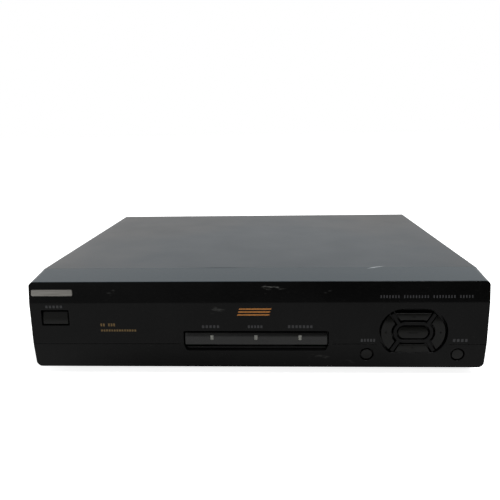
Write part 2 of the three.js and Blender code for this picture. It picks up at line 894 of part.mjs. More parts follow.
function readerLidShape() {
  const half = readerHalf - reader.lidInset;
  const low = lensLow + seat;
  const window = channelHalf;
  const middle = readerFront + reader.depth / 2;
  return cut(
    block(
      [-half, half],
      [readerFront + reader.lidInset, readerFront + reader.depth],
      [low, low + reader.lidThick],
    ),
    block(
      [-window / 2, window / 2],
      [middle, middle + window / 2],
      [low - overrun, low + reader.lidThick + overrun],
    ),
  );
}

// Bottom pan of folded sheet, with the standoffs that carry the boards
function panShape() {
  const low = pan.rise;
  const inner = halfPan - pan.sheet;
  let shape = block([-halfPan, halfPan], [caseFront, panBack], [low, low + pan.sheet + pan.sideFlange]);
  shape = cut(
    shape,
    block(
      [-inner, inner],
      [caseFront + pan.sheet, panBack - pan.sheet],
      [panTop, panTop + pan.sideFlange + overrun],
    ),
    block(
      [-inner, inner],
      [caseFront - overrun, panBack + overrun],
      [panTop + pan.endFlange, panTop + pan.sideFlange + overrun],
    ),
  );
  const tabPlay = pan.tabWidth / 2 + pan.tabPlay;
  for (const x of [-tabX, 0, tabX]) {
    shape = cut(
      shape,
      block(
        [x - tabPlay, x + tabPlay],
        [caseFront - overrun, caseFront + pan.sheet + overrun],
        [panTop, panTop + pan.endFlange + overrun],
      ),
    );
  }
  const ventY = panBack - pan.ventFromBack;
  for (const side of [-1, 1]) {
    const middle = (side * (pan.ventCount + 2) * pan.ventPitch) / 2;
    shape = cut(
      shape,
      slots(pan.ventCount, pan.ventPitch, (x) =>
        block(
          [middle + x - pan.ventWidth / 2, middle + x + pan.ventWidth / 2],
          [ventY - pan.ventLength / 2, ventY + pan.ventLength / 2],
          [low - overrun, panTop + overrun],
        ),
      ),
    );
  }
  for (const [x, y] of standoffPlaces()) {
    shape = join(shape, rodZ(standoff.radius, panTop - pan.sheet / 2, boardLow - seat, x, y, coarse));
  }
  for (const [side, y] of sideScrewPlaces()) {
    const wall = side * (halfPan - pan.sheet / 2);
    shape = cut(
      shape,
      rodX(screw.shaftRadius + seat, wall - overrun, wall + overrun, y, screwLevel, coarse),
    );
  }
  for (const [x, y] of footPlaces()) {
    shape = cut(shape, rodZ(foot.rivetRadius + seat, low - overrun, panTop + overrun, x, y, coarse));
  }
  return shape;
}

// Edges of the two boards, left to right
const boardBack = panBack - pan.sheet - mainBoard.backGap;
const boardFront = caseFront + pan.sheet + mainBoard.frontGap;
const mainRight = halfPan - pan.sheet - mainBoard.sideGap;
const powerLeft = -halfPan + pan.sheet + powerBoard.sideGap;
const powerRight = powerLeft + powerBoard.width;
const powerFront = boardBack - powerBoard.depth;
const mainLeft = powerRight + mainBoard.besidePower;

function standoffPlaces() {
  const corners = (x0, x1, y0, y1) => [
    [x0 + standoff.inset, y0 + standoff.inset],
    [x1 - standoff.inset, y0 + standoff.inset],
    [x0 + standoff.inset, y1 - standoff.inset],
    [x1 - standoff.inset, y1 - standoff.inset],
  ];
  return [
    ...corners(mainLeft, mainRight, boardFront, boardBack),
    ...corners(powerLeft, powerRight, powerFront, boardBack),
  ];
}

const screwLevel = pan.rise + screwPlace.rise;
const backScrewX = halfPanel - screwPlace.backFromSide;
function sideScrewPlaces() {
  const ys = [caseFront + screwPlace.sideFront, caseDepth - screwPlace.sideBack];
  return [-1, 1].flatMap((side) => ys.map((y) => [side, y]));
}
function footPlaces() {
  const x = halfPanel - foot.fromSide;
  return [-1, 1].flatMap((side) => [foot.fromFront, caseDepth - foot.fromBack].map((y) => [side * x, y]));
}

// Top cover: one sheet folded down both sides and over the back, with a tongue under the fascia's lip
function coverShape() {
  const height = caseHeight - cover.lowerEdge;
  const middle = cover.lowerEdge + height / 2 - cover.bendRadius;
  const tall = height + 2 * cover.bendRadius;
  const outer = alongY(roundedBox(2 * halfCover, tall, cover.bendRadius, 0, middle), caseFront, caseDepth);
  const innerRadius = cover.bendRadius - cover.sheet;
  const innerOutline = roundedBox(
    2 * (halfCover - cover.sheet),
    tall - 2 * cover.sheet,
    innerRadius,
    0,
    middle,
  );
  const inner = alongY(innerOutline, caseFront - overrun, caseDepth - cover.sheet);
  const backCut = block(
    [-halfCover - overrun, halfCover + overrun],
    [caseDepth - cover.sheet - seat / 2, caseDepth + overrun],
    [-caseHeight, caseHeight - cover.backLip],
  );
  const below = block(
    [-halfCover - overrun, halfCover + overrun],
    [caseFront - overrun, caseDepth + overrun],
    [-caseHeight, cover.lowerEdge],
  );
  let shape = cut(outer, inner, backCut, below);
  const tongueHalf = halfCover - cover.tongueInset;
  const tongueFront = caseFront - cover.tongueReach;
  const underLip = bandTop - fascia.wall + (tongueFront - fascia.bandSetback - fascia.wall) * lipSlope;
  const tongueTop = underLip - seat;
  shape = join(
    shape,
    block(
      [-tongueHalf, tongueHalf],
      [tongueFront, caseFront + cover.sheet],
      [tongueTop - cover.sheet, tongueTop],
    ),
    block(
      [-tongueHalf, tongueHalf],
      [caseFront, caseFront + cover.sheet],
      [tongueTop - cover.sheet, caseHeight - cover.sheet / 2],
    ),
  );
  const ventY = caseDepth - cover.ventFromBack - (cover.ventCount * cover.ventPitch) / 2;
  const ventZ = cover.lowerEdge + cover.ventAboveEdge;
  for (const side of [-1, 1]) {
    const wall = side * (halfCover - cover.sheet / 2);
    shape = cut(
      shape,
      slots(cover.ventCount, cover.ventPitch, (y) =>
        block(
          [wall - overrun, wall + overrun],
          [ventY + y - cover.ventWidth / 2, ventY + y + cover.ventWidth / 2],
          [ventZ, ventZ + cover.ventHeight],
        ),
      ),
    );
  }
  for (const [side, y] of sideScrewPlaces()) {
    const wall = side * (halfCover - cover.sheet / 2);
    shape = cut(
      shape,
      rodX(screw.shaftRadius + screwPlay, wall - overrun, wall + overrun, y, screwLevel, coarse),
    );
  }
  for (const side of [-1, 1]) {
    const hole = screw.shaftRadius + screwPlay;
    shape = cut(
      shape,
      rodY(
        hole,
        panelBack,
        caseDepth + overrun,
        side * backScrewX,
        caseHeight - screwPlace.backDrop,
        coarse,
      ),
    );
  }
  return shape;
}

// Places of the sockets along the back
const tunerX = halfPanel - tuner.sideGap - tuner.width / 2;
const modulatorX = tunerX - (tuner.width + modulator.width) / 2 - modulator.besideTuner;
const nippleXs = [tunerX, modulatorX - modulator.nipplePitch / 2, modulatorX + modulator.nipplePitch / 2];
const svideoX = modulatorX - (modulator.width + svideo.body) / 2 - svideo.besideModulator;
const avHalf = phono.pitch + phono.rimRadius + avBlock.sideWall;
const avX = svideoX - svideo.body / 2 - avBlock.besideSvideo - avHalf;
const phonoXs = [-phono.pitch, 0, phono.pitch].map((x) => avX + x);
const phoneX = avX - avHalf - phone.besideAv - phone.width / 2;
const dataX = phoneX - (phone.width + dataPort.flangeWidth) / 2 - dataPort.besidePhone;
const glandX = -halfPanel + gland.fromSide;

function backPanelShape() {
  const top = caseHeight - cover.sheet - seat;
  const through = [panelInner - overrun, panelBack + overrun];
  const corner = cover.bendRadius - cover.sheet - seat;
  const middle = (pan.rise + top) / 2 - corner;
  const tall = top - pan.rise + 2 * corner;
  const outline = roundedBox(2 * halfPan, tall, corner, 0, middle);
  const keep = block([-halfPan, halfPan], through, [pan.rise, top]);
  let shape = alongY(outline, panelInner, panelBack).intersect(keep);
  const rounds = [
    ...nippleXs.map((x) => [x, nipple.radius]),
    ...phonoXs.map((x) => [x, phono.rimRadius]),
    [svideoX, svideo.radius],
    [glandX, gland.neckRadius],
  ];
  for (const [x, radius] of rounds) {
    shape = cut(shape, rodY(radius + backPanel.holePlay, ...through, x, axisHeight, medium));
  }
  const opening = (x, width, height, z = axisHeight) => {
    const [w, h] = [width / 2 + backPanel.holePlay, height / 2 + backPanel.holePlay];
    return block([x - w, x + w], through, [z - h, z + h]);
  };
  shape = cut(
    shape,
    opening(phoneX, phone.width, phone.height, boardTop + seat + phone.height / 2),
    opening(dataX, 2 * (dataPort.postSpread + dataPort.postRadius), dataPort.shellHeight),
  );
  const firstVent = -halfPan + backPanel.ventFromSide + (backPanel.ventCount * backPanel.ventPitch) / 2;
  const ventTop = top - backPanel.ventFromTop;
  shape = cut(
    shape,
    slots(backPanel.ventCount, backPanel.ventPitch, (x) =>
      block(
        [firstVent + x - backPanel.ventWidth / 2, firstVent + x + backPanel.ventWidth / 2],
        through,
        [ventTop - backPanel.ventHeight, ventTop],
      ),
    ),
  );
  for (const side of [-1, 1]) {
    const hole = screw.shaftRadius + seat;
    shape = cut(
      shape,
      rodY(hole, ...through, side * backScrewX, caseHeight - screwPlace.backDrop, coarse),
    );
  }
  return shape;
}

// Sockets, each modelled about its own axis with the outer face of the back panel at y = 0
const canBack = panelInner - seat;

function nippleShape() {
  const hexagon = polygon(
    Array.from({ length: hexagonal }, (_, i) => {
      const angle = (2 * Math.PI * i) / hexagonal;
      const radius = nipple.nutAcross / Math.sqrt(3);
      return [radius * Math.cos(angle), radius * Math.sin(angle)];
    }),
  );
  return cut(
    join(
      rodY(nipple.radius, canBack + seat - panelBack, nipple.out, 0, 0, fine),
      alongY(hexagon, seat, seat + nipple.nutThick),
    ),
    rodY(nipple.boreRadius, nipple.out - nipple.boreDepth, nipple.out + overrun, 0, 0, coarse),
  );
}

function phonoShape() {
  const inner = canBack - phono.seatDepth - panelBack + seat;
  return cut(
    rodY(phono.radius, inner, phono.out, 0, 0, medium),
    rodY(phono.boreRadius, phono.out - phono.boreDepth, phono.out + overrun, 0, 0, coarse),
  );
}

function avBlockShape() {
  const low = boardTop + seat;
  let shape = block(
    [avX - avHalf, avX + avHalf],
    [canBack - avBlock.depth, canBack],
    [low, low + avBlock.height],
  );
  for (const x of phonoXs) {
    shape = join(shape, rodY(phono.rimRadius, canBack - overrun, panelBack, x, axisHeight, medium));
  }
  for (const x of phonoXs) {
    const bore = phono.radius + seat;
    shape = cut(shape, rodY(bore, canBack - phono.seatDepth, panelBack + overrun, x, axisHeight, medium));
  }
  return shape;
}

function svideoShape() {
  const half = svideo.body / 2;
  const low = boardTop + seat;
  return cut(
    join(
      block([svideoX - half, svideoX + half], [canBack - svideo.depth, canBack], [low, axisHeight + half]),
      rodY(svideo.radius, canBack - overrun, panelBack + svideo.out, svideoX, axisHeight, medium),
    ),
    cut(
      rodY(
        svideo.grooveOuter,
        panelBack + svideo.out - svideo.grooveDepth,
        panelBack + 2 * svideo.out,
        svideoX,
        axisHeight,
      ),
      rodY(
        svideo.grooveInner,
        panelBack - svideo.grooveDepth,
        panelBack + 2 * svideo.out,
        svideoX,
        axisHeight,
      ),
    ),
  );
}

function phoneShape() {
  const low = boardTop + seat;
  const [w, m] = [phone.width / 2, phone.mouthWidth / 2];
  const faceY = panelBack + phone.out;
  const mouthLow = low + (phone.height - phone.mouthHeight) / 2;
  return cut(
    block([phoneX - w, phoneX + w], [faceY - phone.depth, faceY], [low, low + phone.height]),
    block(
      [phoneX - m, phoneX + m],
      [faceY - phone.mouthDepth, faceY + overrun],
      [mouthLow, mouthLow + phone.mouthHeight],
    ),
  );
}

function dataPortShape() {
  const [w, h] = [dataPort.shellWidth / 2, dataPort.shellHeight / 2];
  const slope = h / 2;
  const shellOutline = polygon([
    [dataX - w + slope, axisHeight - h],
    [dataX + w - slope, axisHeight - h],
    [dataX + w, axisHeight + h],
    [dataX - w, axisHeight + h],
  ]);
  const flangeHalf = dataPort.flangeWidth / 2;
  const flangeTall = dataPort.flangeHeight / 2;
  let shape = join(
    block(
      [dataX - flangeHalf, dataX + flangeHalf],
      [canBack - dataPort.flangeThick, canBack],
      [axisHeight - flangeTall, axisHeight + flangeTall],
    ),
    block(
      [dataX - w, dataX + w],
      [canBack - dataPort.bodyDepth, canBack],
      [boardTop + seat, axisHeight + flangeTall],
    ),
    alongY(shellOutline, canBack - overrun, panelBack + dataPort.shellOut),
  );
  for (const side of [-1, 1]) {
    const x = dataX + side * dataPort.postSpread;
    shape = join(
      shape,
      rodY(dataPort.postRadius, canBack - overrun, panelBack + dataPort.postOut, x, axisHeight, hexagonal),
    );
  }
  return shape;
}

function glandShape() {
  const capOut = seat + gland.capThick;
  return cut(
    join(
      rodY(gland.capRadius, seat, capOut, 0, 0, fine),
      rodY(
        gland.neckRadius,
        -backPanel.sheet - gland.neckLength,
        capOut - gland.capThick / 2,
        0,
        0,
        medium,
      ),
    ),
    rodY(gland.boreRadius, -backPanel.sheet - gland.neckLength - overrun, capOut + overrun, 0, 0, medium),
  );
}

// Boards. Small parts that are soldered down are one piece with their board
function mainBoardShape() {
  const width = mainRight - mainLeft;
  const depth = boardBack - boardFront;
  let shape = block([mainLeft, mainRight], [boardFront, boardBack], [boardLow, boardTop]);
  const chipShares = [
    [0.52, 0.42, 0.13, 0.15, 0.3],
    [0.72, 0.4, 0.1, 0.12, 0.3],
    [0.3, 0.46, 0.09, 0.1, 0.3],
    [0.52, 0.62, 0.07, 0.05, 0.2],
    [0.62, 0.62, 0.07, 0.05, 0.2],
    [0.86, 0.28, 0.08, 0.06, 0.2],
    [0.16, 0.6, 0.1, 0.09, 0.6],
    [0.9, 0.5, 0.05, 0.03, 0.35],
  ];
  shape = join(shape, ...solderedParts(chipShares, [mainLeft, width], [boardFront, depth]));
  const canShares = [
    [0.1, 0.3],
    [0.14, 0.3],
    [0.1, 0.36],
    [0.66, 0.28],
    [0.42, 0.7],
    [0.46, 0.7],
  ];
  const cans = canShares.map(([x, y]) => {
    const [cx, cy] = [mainLeft + x * width, boardFront + y * depth];
    return rodZ(smallCan.radius, boardTop - smallCan.sunk, boardTop + smallCan.height, cx, cy, coarse);
  });
  return join(shape, ...cans, harnessPlug(harnessMainX), ribbonPlug());
}

// Blocks soldered to a board: middle and footprint as shares of the board, height as a share of the tallest
function solderedParts(shares, [x0, width], [y0, depth]) {
  return shares.map(([x, y, w, d, rise]) =>
    block(
      [x0 + (x - w / 2) * width, x0 + (x + w / 2) * width],
      [y0 + (y - d / 2) * depth, y0 + (y + d / 2) * depth],
      [boardTop - boardThick / 2, boardTop + rise * tallestPart],
    ),
  );
}

function powerBoardShape() {
  const width = powerRight - powerLeft;
  const shape = block([powerLeft, powerRight], [powerFront, boardBack], [boardLow, boardTop]);
  const partShares = [
    [0.2, 0.78, 0.16, 0.05, 0.7],
    [0.7, 0.84, 0.2, 0.1, 1],
    [0.24, 0.42, 0.2, 0.06, 0.85],
  ];
  const parts = solderedParts(partShares, [powerLeft, width], [powerFront, powerBoard.depth]);
  return join(shape, ...parts, harnessPlug(harnessPowerX));
}

// Flat lead between the boards, from a plug on one to a plug on the other
const harnessPowerX = powerRight - harness.plugDepth;
const harnessMainX = mainLeft + harness.plugDepth;
const harnessY = powerFront + harness.fromFront;

function harnessPlug(x) {
  const [w, d] = [harness.plugDepth / 2, harness.width / 2];
  return block(
    [x - w, x + w],
    [harnessY - d, harnessY + d],
    [boardTop - boardThick / 2, boardTop + harness.plugHeight],
  );
}

function harnessShape() {
  const span = harnessMainX - harnessPowerX + harness.thick;
  return alongY(archShape(span, harness.rise, harness.thick), -harness.width / 2, harness.width / 2);
}

const ribbonPlugY = boardFront + ribbon.reach;
function ribbonPlug() {
  const [w, d] = [ribbon.width / 2, ribbon.plugDepth / 2];
  return block(
    [ribbonX - w, ribbonX + w],
    [ribbonPlugY - d, ribbonPlugY + d],
    [boardTop - boardThick / 2, boardTop + ribbon.plugHeight],
  );
}

// The ribbon leaves the top of the control board's plug and comes down on the main board's plug
function ribbonShape() {
  const startY = frontBoard.setback + boardThick + ribbon.plugDepth / 2;
  const startZ = frontBoard.lowEdge + ribbon.plugRise + ribbon.plugHeight + seat;
  const endZ = boardTop + ribbon.plugHeight + seat;
  const top = startZ + ribbon.reach / 2;
  const outline = new THREE.Shape();
  outline.moveTo(startY, startZ);
  outline.bezierCurveTo(startY, top, ribbonPlugY, top, ribbonPlugY, endZ);
  outline.lineTo(ribbonPlugY - ribbon.thick, endZ);
  outline.bezierCurveTo(
    ribbonPlugY - ribbon.thick,
    top - ribbon.thick,
    startY + ribbon.thick,
    top - ribbon.thick,
    startY + ribbon.thick,
    startZ,
  );
  outline.closePath();
  return alongX(outline, ribbonX - ribbon.width / 2, ribbonX + ribbon.width / 2, coarse);
}

// Power supply parts, each standing on its board with its base at z = 0
function transformerShape() {
  const [w, d] = [transformer.width / 2, transformer.depth / 2];
  const coilHalf = transformer.coilWidth / 2;
  const coilDeep = d + transformer.coilBulge;
  const coilInset = transformer.coilBulge;
  return join(
    block([-w, w], [-d, d], [0, transformer.height]),
    alongZ(
      roundedBox(2 * coilHalf, 2 * coilDeep, transformer.coilBulge),
      coilInset,
      transformer.height - coilInset,
      arcSteps / 2,
    ),
  );
}

function heatSinkShape() {
  const half = heatSink.width / 2;
  const pitch = (heatSink.width - heatSink.finThick) / (heatSink.fins - 1);
  const fins = slots(heatSink.fins, pitch, (x) =>
    block(
      [x - heatSink.finThick / 2, x + heatSink.finThick / 2],
      [0, heatSink.finReach],
      [0, heatSink.height],
    ),
  );
  return join(block([-half, half], [-heatSink.base, overrun / 2], [0, heatSink.height]), fins);
}

const capacitorShape = () => rodZ(capacitor.radius, 0, capacitor.height, 0, 0, medium);

// Tin-plate can, open below, with one screening wall across it
function canShape(can) {
  const [half, wall] = [can.width / 2, canWall];
  const split = can.depth * canSplitShare;
  return cut(
    block([-half, half], [-can.depth, 0], [0, can.height]),
    block(
      [-half + wall, half - wall],
      [-can.depth + wall, -split - wall / 2],
      [-overrun, can.height - wall],
    ),
    block([-half + wall, half - wall], [-split + wall / 2, -wall], [-overrun, can.height - wall]),
  );
}

// Fasteners: head above z = 0, shaft below
function screwShape() {
  const dome = screw.headHeight / 3;
  const cross = (w, l) => block(
    [-w / 2, w / 2],
    [-l / 2, l / 2],
    [screw.headHeight - screw.crossDepth, screw.headHeight + overrun],
  );
  return cut(
    turned(
      [
        [0, -screw.grip],
        [screw.shaftRadius, -screw.grip],
        [screw.shaftRadius, 0],
        [screw.headRadius, 0],
        [screw.headRadius, dome],
        [screw.headRadius - dome, screw.headHeight],
        [0, screw.headHeight],
      ],
      medium,
    ),
    cross(screw.crossWidth, screw.crossLength),
    cross(screw.crossLength, screw.crossWidth),
  );
}

// Foot: a tapered pad with a dished underside, held by a rivet through the pan
function footShape() {
  const top = footHeight + pan.rise - seat;
  const edge = (foot.topRadius - foot.baseRadius) / 2;
  return turned([
    [0, foot.dishDepth],
    [foot.dishRadius, foot.dishDepth],
    [foot.dishRadius, 0],
    [foot.baseRadius - edge, 0],
    [foot.baseRadius, edge],
    [foot.topRadius, top],
    [foot.rivetRadius, top],
    [foot.rivetRadius, top + pan.sheet + foot.rivetReach],
    [0, top + pan.sheet + foot.rivetReach],
  ]);
}

// Assembly
function piece(name, shape, material, [x, y, z] = [0, 0, 0]) {
  const mesh = new THREE.Mesh(geometryOf(shape), material);
  mesh.name = name;
  mesh.position.set(x, y, z);
  return mesh;
}

const receiver = new THREE.Group();
const caseGroup = new THREE.Group();
const front = new THREE.Group();
const inside = new THREE.Group();
const back = new THREE.Group();
receiver.add(caseGroup, front, inside, back);
// Everything but the feet is measured from the fascia's underside and main face
receiver.position.set(0, -overallDepth / 2, footHeight);

caseGroup.add(
  piece("top_cover", coverShape(), paintedSteel),
  piece("chassis_pan", panShape(), zincSteel),
  piece("rear_panel", backPanelShape(), paintedSteel),
);
footPlaces().forEach(([x, y]) => {
  const name = `foot_${y < caseDepth / 2 ? "front" : "rear"}_${x < 0 ? "left" : "right"}`;
  caseGroup.add(piece(name, footShape(), rubber, [x, y, -footHeight]));
});
sideScrewPlaces().forEach(([side, y]) => {
  const name = `screw_${side < 0 ? "left" : "right"}_${y < caseDepth / 2 ? "front" : "rear"}`;
  const mesh = piece(name, screwShape(), blackScrew, [side * (halfCover + seat), y, screwLevel]);
  mesh.rotation.y = (side * Math.PI) / 2;
  caseGroup.add(mesh);
});
for (const side of [-1, 1]) {
  const place = [side * backScrewX, caseDepth + seat, caseHeight - screwPlace.backDrop];
  const mesh = piece(`screw_back_${side < 0 ? "left" : "right"}`, screwShape(), blackScrew, place);
  mesh.rotation.x = -Math.PI / 2;
  caseGroup.add(mesh);
}

front.add(
  piece("front_fascia", fasciaShape(), blackPlastic),
  piece("indicator_lens", lensShape(), smokedPlastic),
  piece("light_guide", guideShape(), clearPlastic),
  piece("power_button", powerCap(), keyPlastic),
  piece("round_left_button", roundCap(-1), keyPlastic),
  piece("round_right_button", roundCap(1), keyPlastic),
  piece("select_button", selectCap(), keyPlastic),
  piece("front_board", frontBoardShape(), circuitBoard),
);
for (const [name, cap] of Object.entries(keyCaps())) {
  front.add(piece(`${name}_button`, cap, keyPlastic));
}
for (const [name, [x, z]] of Object.entries(switchPlaces)) {
  front.add(piece(`${name}_plunger`, plungerShape(), componentBlack, [x, plungerTip, z]));
}
windowXs.forEach((x, i) => {
  front.add(piece(`led_${i + 1}`, ledShape(), clearPlastic, [x, frontBoard.setback - seat, windowZ]));
});
front.add(
  piece("infrared_receiver", infraredShape(), componentBlack, [
    windowPitch / 2,
    frontBoard.setback - seat,
    windowZ + infrared.height / 2,
  ]),
);
// The nameplate lies on the leaning top band, a seat's gap in front of it
const badgePlace = new THREE.Group();
const badgeShare = badge.aboveCrease / fascia.bandFace;
badgePlace.position.set(
  -halfPanel + badge.fromSide,
  badgeShare * fascia.bandSetback - seat,
  mainTop + badge.aboveCrease,
);
badgePlace.rotation.x = -bandLean;
badgePlace.add(piece("blank_badge", badgeShape(), badgeMetal));
front.add(badgePlace);

const onPowerBoard = ([acrossShare, alongShare]) => [
  powerLeft + acrossShare * powerBoard.width,
  powerFront + alongShare * powerBoard.depth,
  boardTop + seat,
];
inside.add(
  piece("main_board", mainBoardShape(), circuitBoard),
  piece("power_board", powerBoardShape(), circuitBoard),
  piece("card_reader_tray", readerBaseShape(), componentBlack),
  piece("card_reader_lid", readerLidShape(), tinPlate),
  piece("tuner_can", canShape(tuner), tinPlate, [tunerX, canBack, boardTop + seat]),
  piece("modulator_can", canShape(modulator), tinPlate, [modulatorX, canBack, boardTop + seat]),
  piece("mains_transformer", transformerShape(), coreSteel, onPowerBoard(transformerShare)),
  piece("heat_sink", heatSinkShape(), coreSteel, onPowerBoard(heatSinkShare)),
  piece("filter_capacitor", capacitorShape(), sleeveBlue, onPowerBoard(capacitorShare)),
  piece("power_harness", harnessShape(), cableGrey, [
    harnessPowerX - harness.thick / 2,
    harnessY,
    boardTop + harness.plugHeight + seat,
  ]),
  piece("front_ribbon", ribbonShape(), cableGrey),
);

const nippleNames = ["satellite_input", "aerial_input", "television_output"];
nippleNames.forEach((name, i) => {
  back.add(piece(name, nippleShape(), nickel, [nippleXs[i], panelBack, axisHeight]));
});
const phonoNames = ["audio_right_jack", "audio_left_jack", "video_jack"];
phonoNames.forEach((name, i) => {
  back.add(piece(name, phonoShape(), nickel, [phonoXs[i], panelBack, axisHeight]));
});
back.add(
  piece("av_jack_block", avBlockShape(), componentBlack),
  piece("s_video_socket", svideoShape(), componentBlack),
  piece("telephone_socket", phoneShape(), componentBlack),
  piece("data_port", dataPortShape(), tinPlate),
  piece("mains_gland", glandShape(), rubber, [glandX, panelBack, axisHeight]),
);

export default receiver;
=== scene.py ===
# %% [markdown]
# # A satellite television receiver
# The object is a low black set-top box: a moulded fascia with eight push buttons and an indicator bar,
# and a case of folded, painted steel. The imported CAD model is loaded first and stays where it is.
# Each visible part is then drawn again with its rounded edges, or keeps its CAD mesh and gets a finish.

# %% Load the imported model
import json
import math

import bmesh
import bpy
import numpy as np
from mathutils import Matrix, Vector

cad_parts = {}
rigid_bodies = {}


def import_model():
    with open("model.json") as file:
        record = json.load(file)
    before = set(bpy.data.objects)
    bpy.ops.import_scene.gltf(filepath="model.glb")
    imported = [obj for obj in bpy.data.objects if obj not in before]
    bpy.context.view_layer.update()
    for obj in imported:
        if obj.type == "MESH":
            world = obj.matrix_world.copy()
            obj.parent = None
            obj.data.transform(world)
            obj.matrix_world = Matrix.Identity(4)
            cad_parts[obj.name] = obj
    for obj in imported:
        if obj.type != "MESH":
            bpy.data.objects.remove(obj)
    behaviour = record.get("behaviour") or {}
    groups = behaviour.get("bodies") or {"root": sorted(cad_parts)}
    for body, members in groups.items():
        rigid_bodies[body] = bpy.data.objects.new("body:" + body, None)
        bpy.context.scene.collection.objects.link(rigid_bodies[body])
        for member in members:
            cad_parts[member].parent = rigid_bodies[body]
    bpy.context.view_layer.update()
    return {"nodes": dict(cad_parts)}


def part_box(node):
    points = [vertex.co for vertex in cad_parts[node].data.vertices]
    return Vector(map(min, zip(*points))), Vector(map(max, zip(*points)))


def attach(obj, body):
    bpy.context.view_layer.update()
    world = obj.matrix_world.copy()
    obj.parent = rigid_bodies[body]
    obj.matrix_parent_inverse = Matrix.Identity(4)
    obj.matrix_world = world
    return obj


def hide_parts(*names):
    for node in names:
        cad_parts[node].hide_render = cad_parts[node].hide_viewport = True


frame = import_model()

nodes = frame["nodes"]

# %% [markdown]
# ## One bench for all the sizes
# A maker measures a front panel from its own foot and face, so the sizes below are millimetres from the
# middle of the fascia's lower front: x to the right, y into the case, z up. One function moves such
# points into the frame of the CAD model, and everything goes through it.

# %% From bench millimetres to the model's frame
MM = 0.001
fascia_low, fascia_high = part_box("front_fascia")
bench = np.array([0.0, fascia_low.y, fascia_low.z])


def to_frame(points):
    """Bench millimetres to metres in the model's frame."""
    return np.asarray(points, float) * MM + bench


fascia_box = [np.round((np.array(corner) - bench) / MM, 2).tolist() for corner in (fascia_low, fascia_high)]
print("fascia on the bench:", fascia_box)

# %% [markdown]
# ## Camera
# The photo was taken from a little above and almost from the middle, with a short telephoto lens. The
# place and the angles were found by fitting the corners of the case, so they are written down as numbers.

# %% Camera
scene_objects = bpy.context.scene.collection.objects
camera_data = bpy.data.cameras.new("camera")
camera_data.lens = 39.48
camera_data.sensor_width = 36
camera = bpy.data.objects.new("camera", camera_data)
scene_objects.link(camera)
bpy.context.scene.camera = camera

yaw, pitch, roll = np.radians([-2.666, 12.995, 0.948])
ahead = np.array([math.sin(yaw) * math.cos(pitch), math.cos(yaw) * math.cos(pitch), -math.sin(pitch)])
level = np.array([math.cos(yaw), -math.sin(yaw), 0.0])
below = np.cross(ahead, level)
right = math.cos(roll) * level + math.sin(roll) * below
down = -math.sin(roll) * level + math.cos(roll) * below
turn = np.eye(4)
turn[:3, 0], turn[:3, 1], turn[:3, 2] = right, -down, -ahead
turn[:3, 3] = (0.0155, -0.55795, 0.1989)
camera.matrix_world = Matrix(turn.tolist())
print("camera at", np.round(turn[:3, 3], 4).tolist())

# %% [markdown]
# ## Colours and nodes
# Paint and plastic colours are read as the numbers a screen shows (sRGB), while the renderer works in
# linear light, so one function converts them. A second one adds a shader node together with its settings
# and links, which keeps each material short enough to read.

# %% Helpers for materials


def linear(code):
    """sRGB hex to linear light with an alpha of 1."""
    value = np.array([int(code[i : i + 2], 16) for i in (1, 3, 5)]) / 255
    return (*np.where(value <= 0.04045, value / 12.92, ((value + 0.055) / 1.055) ** 2.4).tolist(), 1.0)


def add(tree, kind, inputs=(), **settings):
    """
    A shader node of one kind. Its inputs are named in a dictionary, or listed from the first on. Each is a
    plain value, a socket to link from, or a node, which stands for its first output.
    """
    node = tree.nodes.new("ShaderNode" + kind)
    for key, value in settings.items():
        setattr(node, key, value)
    for key, value in inputs.items() if isinstance(inputs, dict) else enumerate(inputs):
        value = value.outputs[0] if isinstance(value, bpy.types.Node) else value
        if isinstance(value, bpy.types.NodeSocket):
            tree.links.new(value, node.inputs[key])
        else:
            node.inputs[key].default_value = value
    return node


def start_material(name):
    """An empty node material, its tree, and the object coordinates its patterns are drawn on."""
    material = bpy.data.materials.new(name)
    material.use_nodes = True
    tree = material.node_tree
    tree.nodes.clear()
    return material, tree, add(tree, "TexCoord").outputs["Object"]


def finish_material(tree, sockets):
    """Ends a tree in a surface with these values and links."""
    add(tree, "OutputMaterial", {"Surface": add(tree, "BsdfPrincipled", sockets)})


def ramp(tree, value, *stops):
    """A ramp fed by a value, with two stops of (position, colour); a plain number is a grey."""
    node = add(tree, "ValToRGB", [value])
    for element, (position, color) in zip(node.color_ramp.elements, stops):
        element.position = position
        element.color = linear(color) if isinstance(color, str) else (color, color, color, 1.0)
    return node


def per_metre(size_mm):
    """Texture scale that gives features of about this size."""
    return 1.0 / (size_mm * MM)
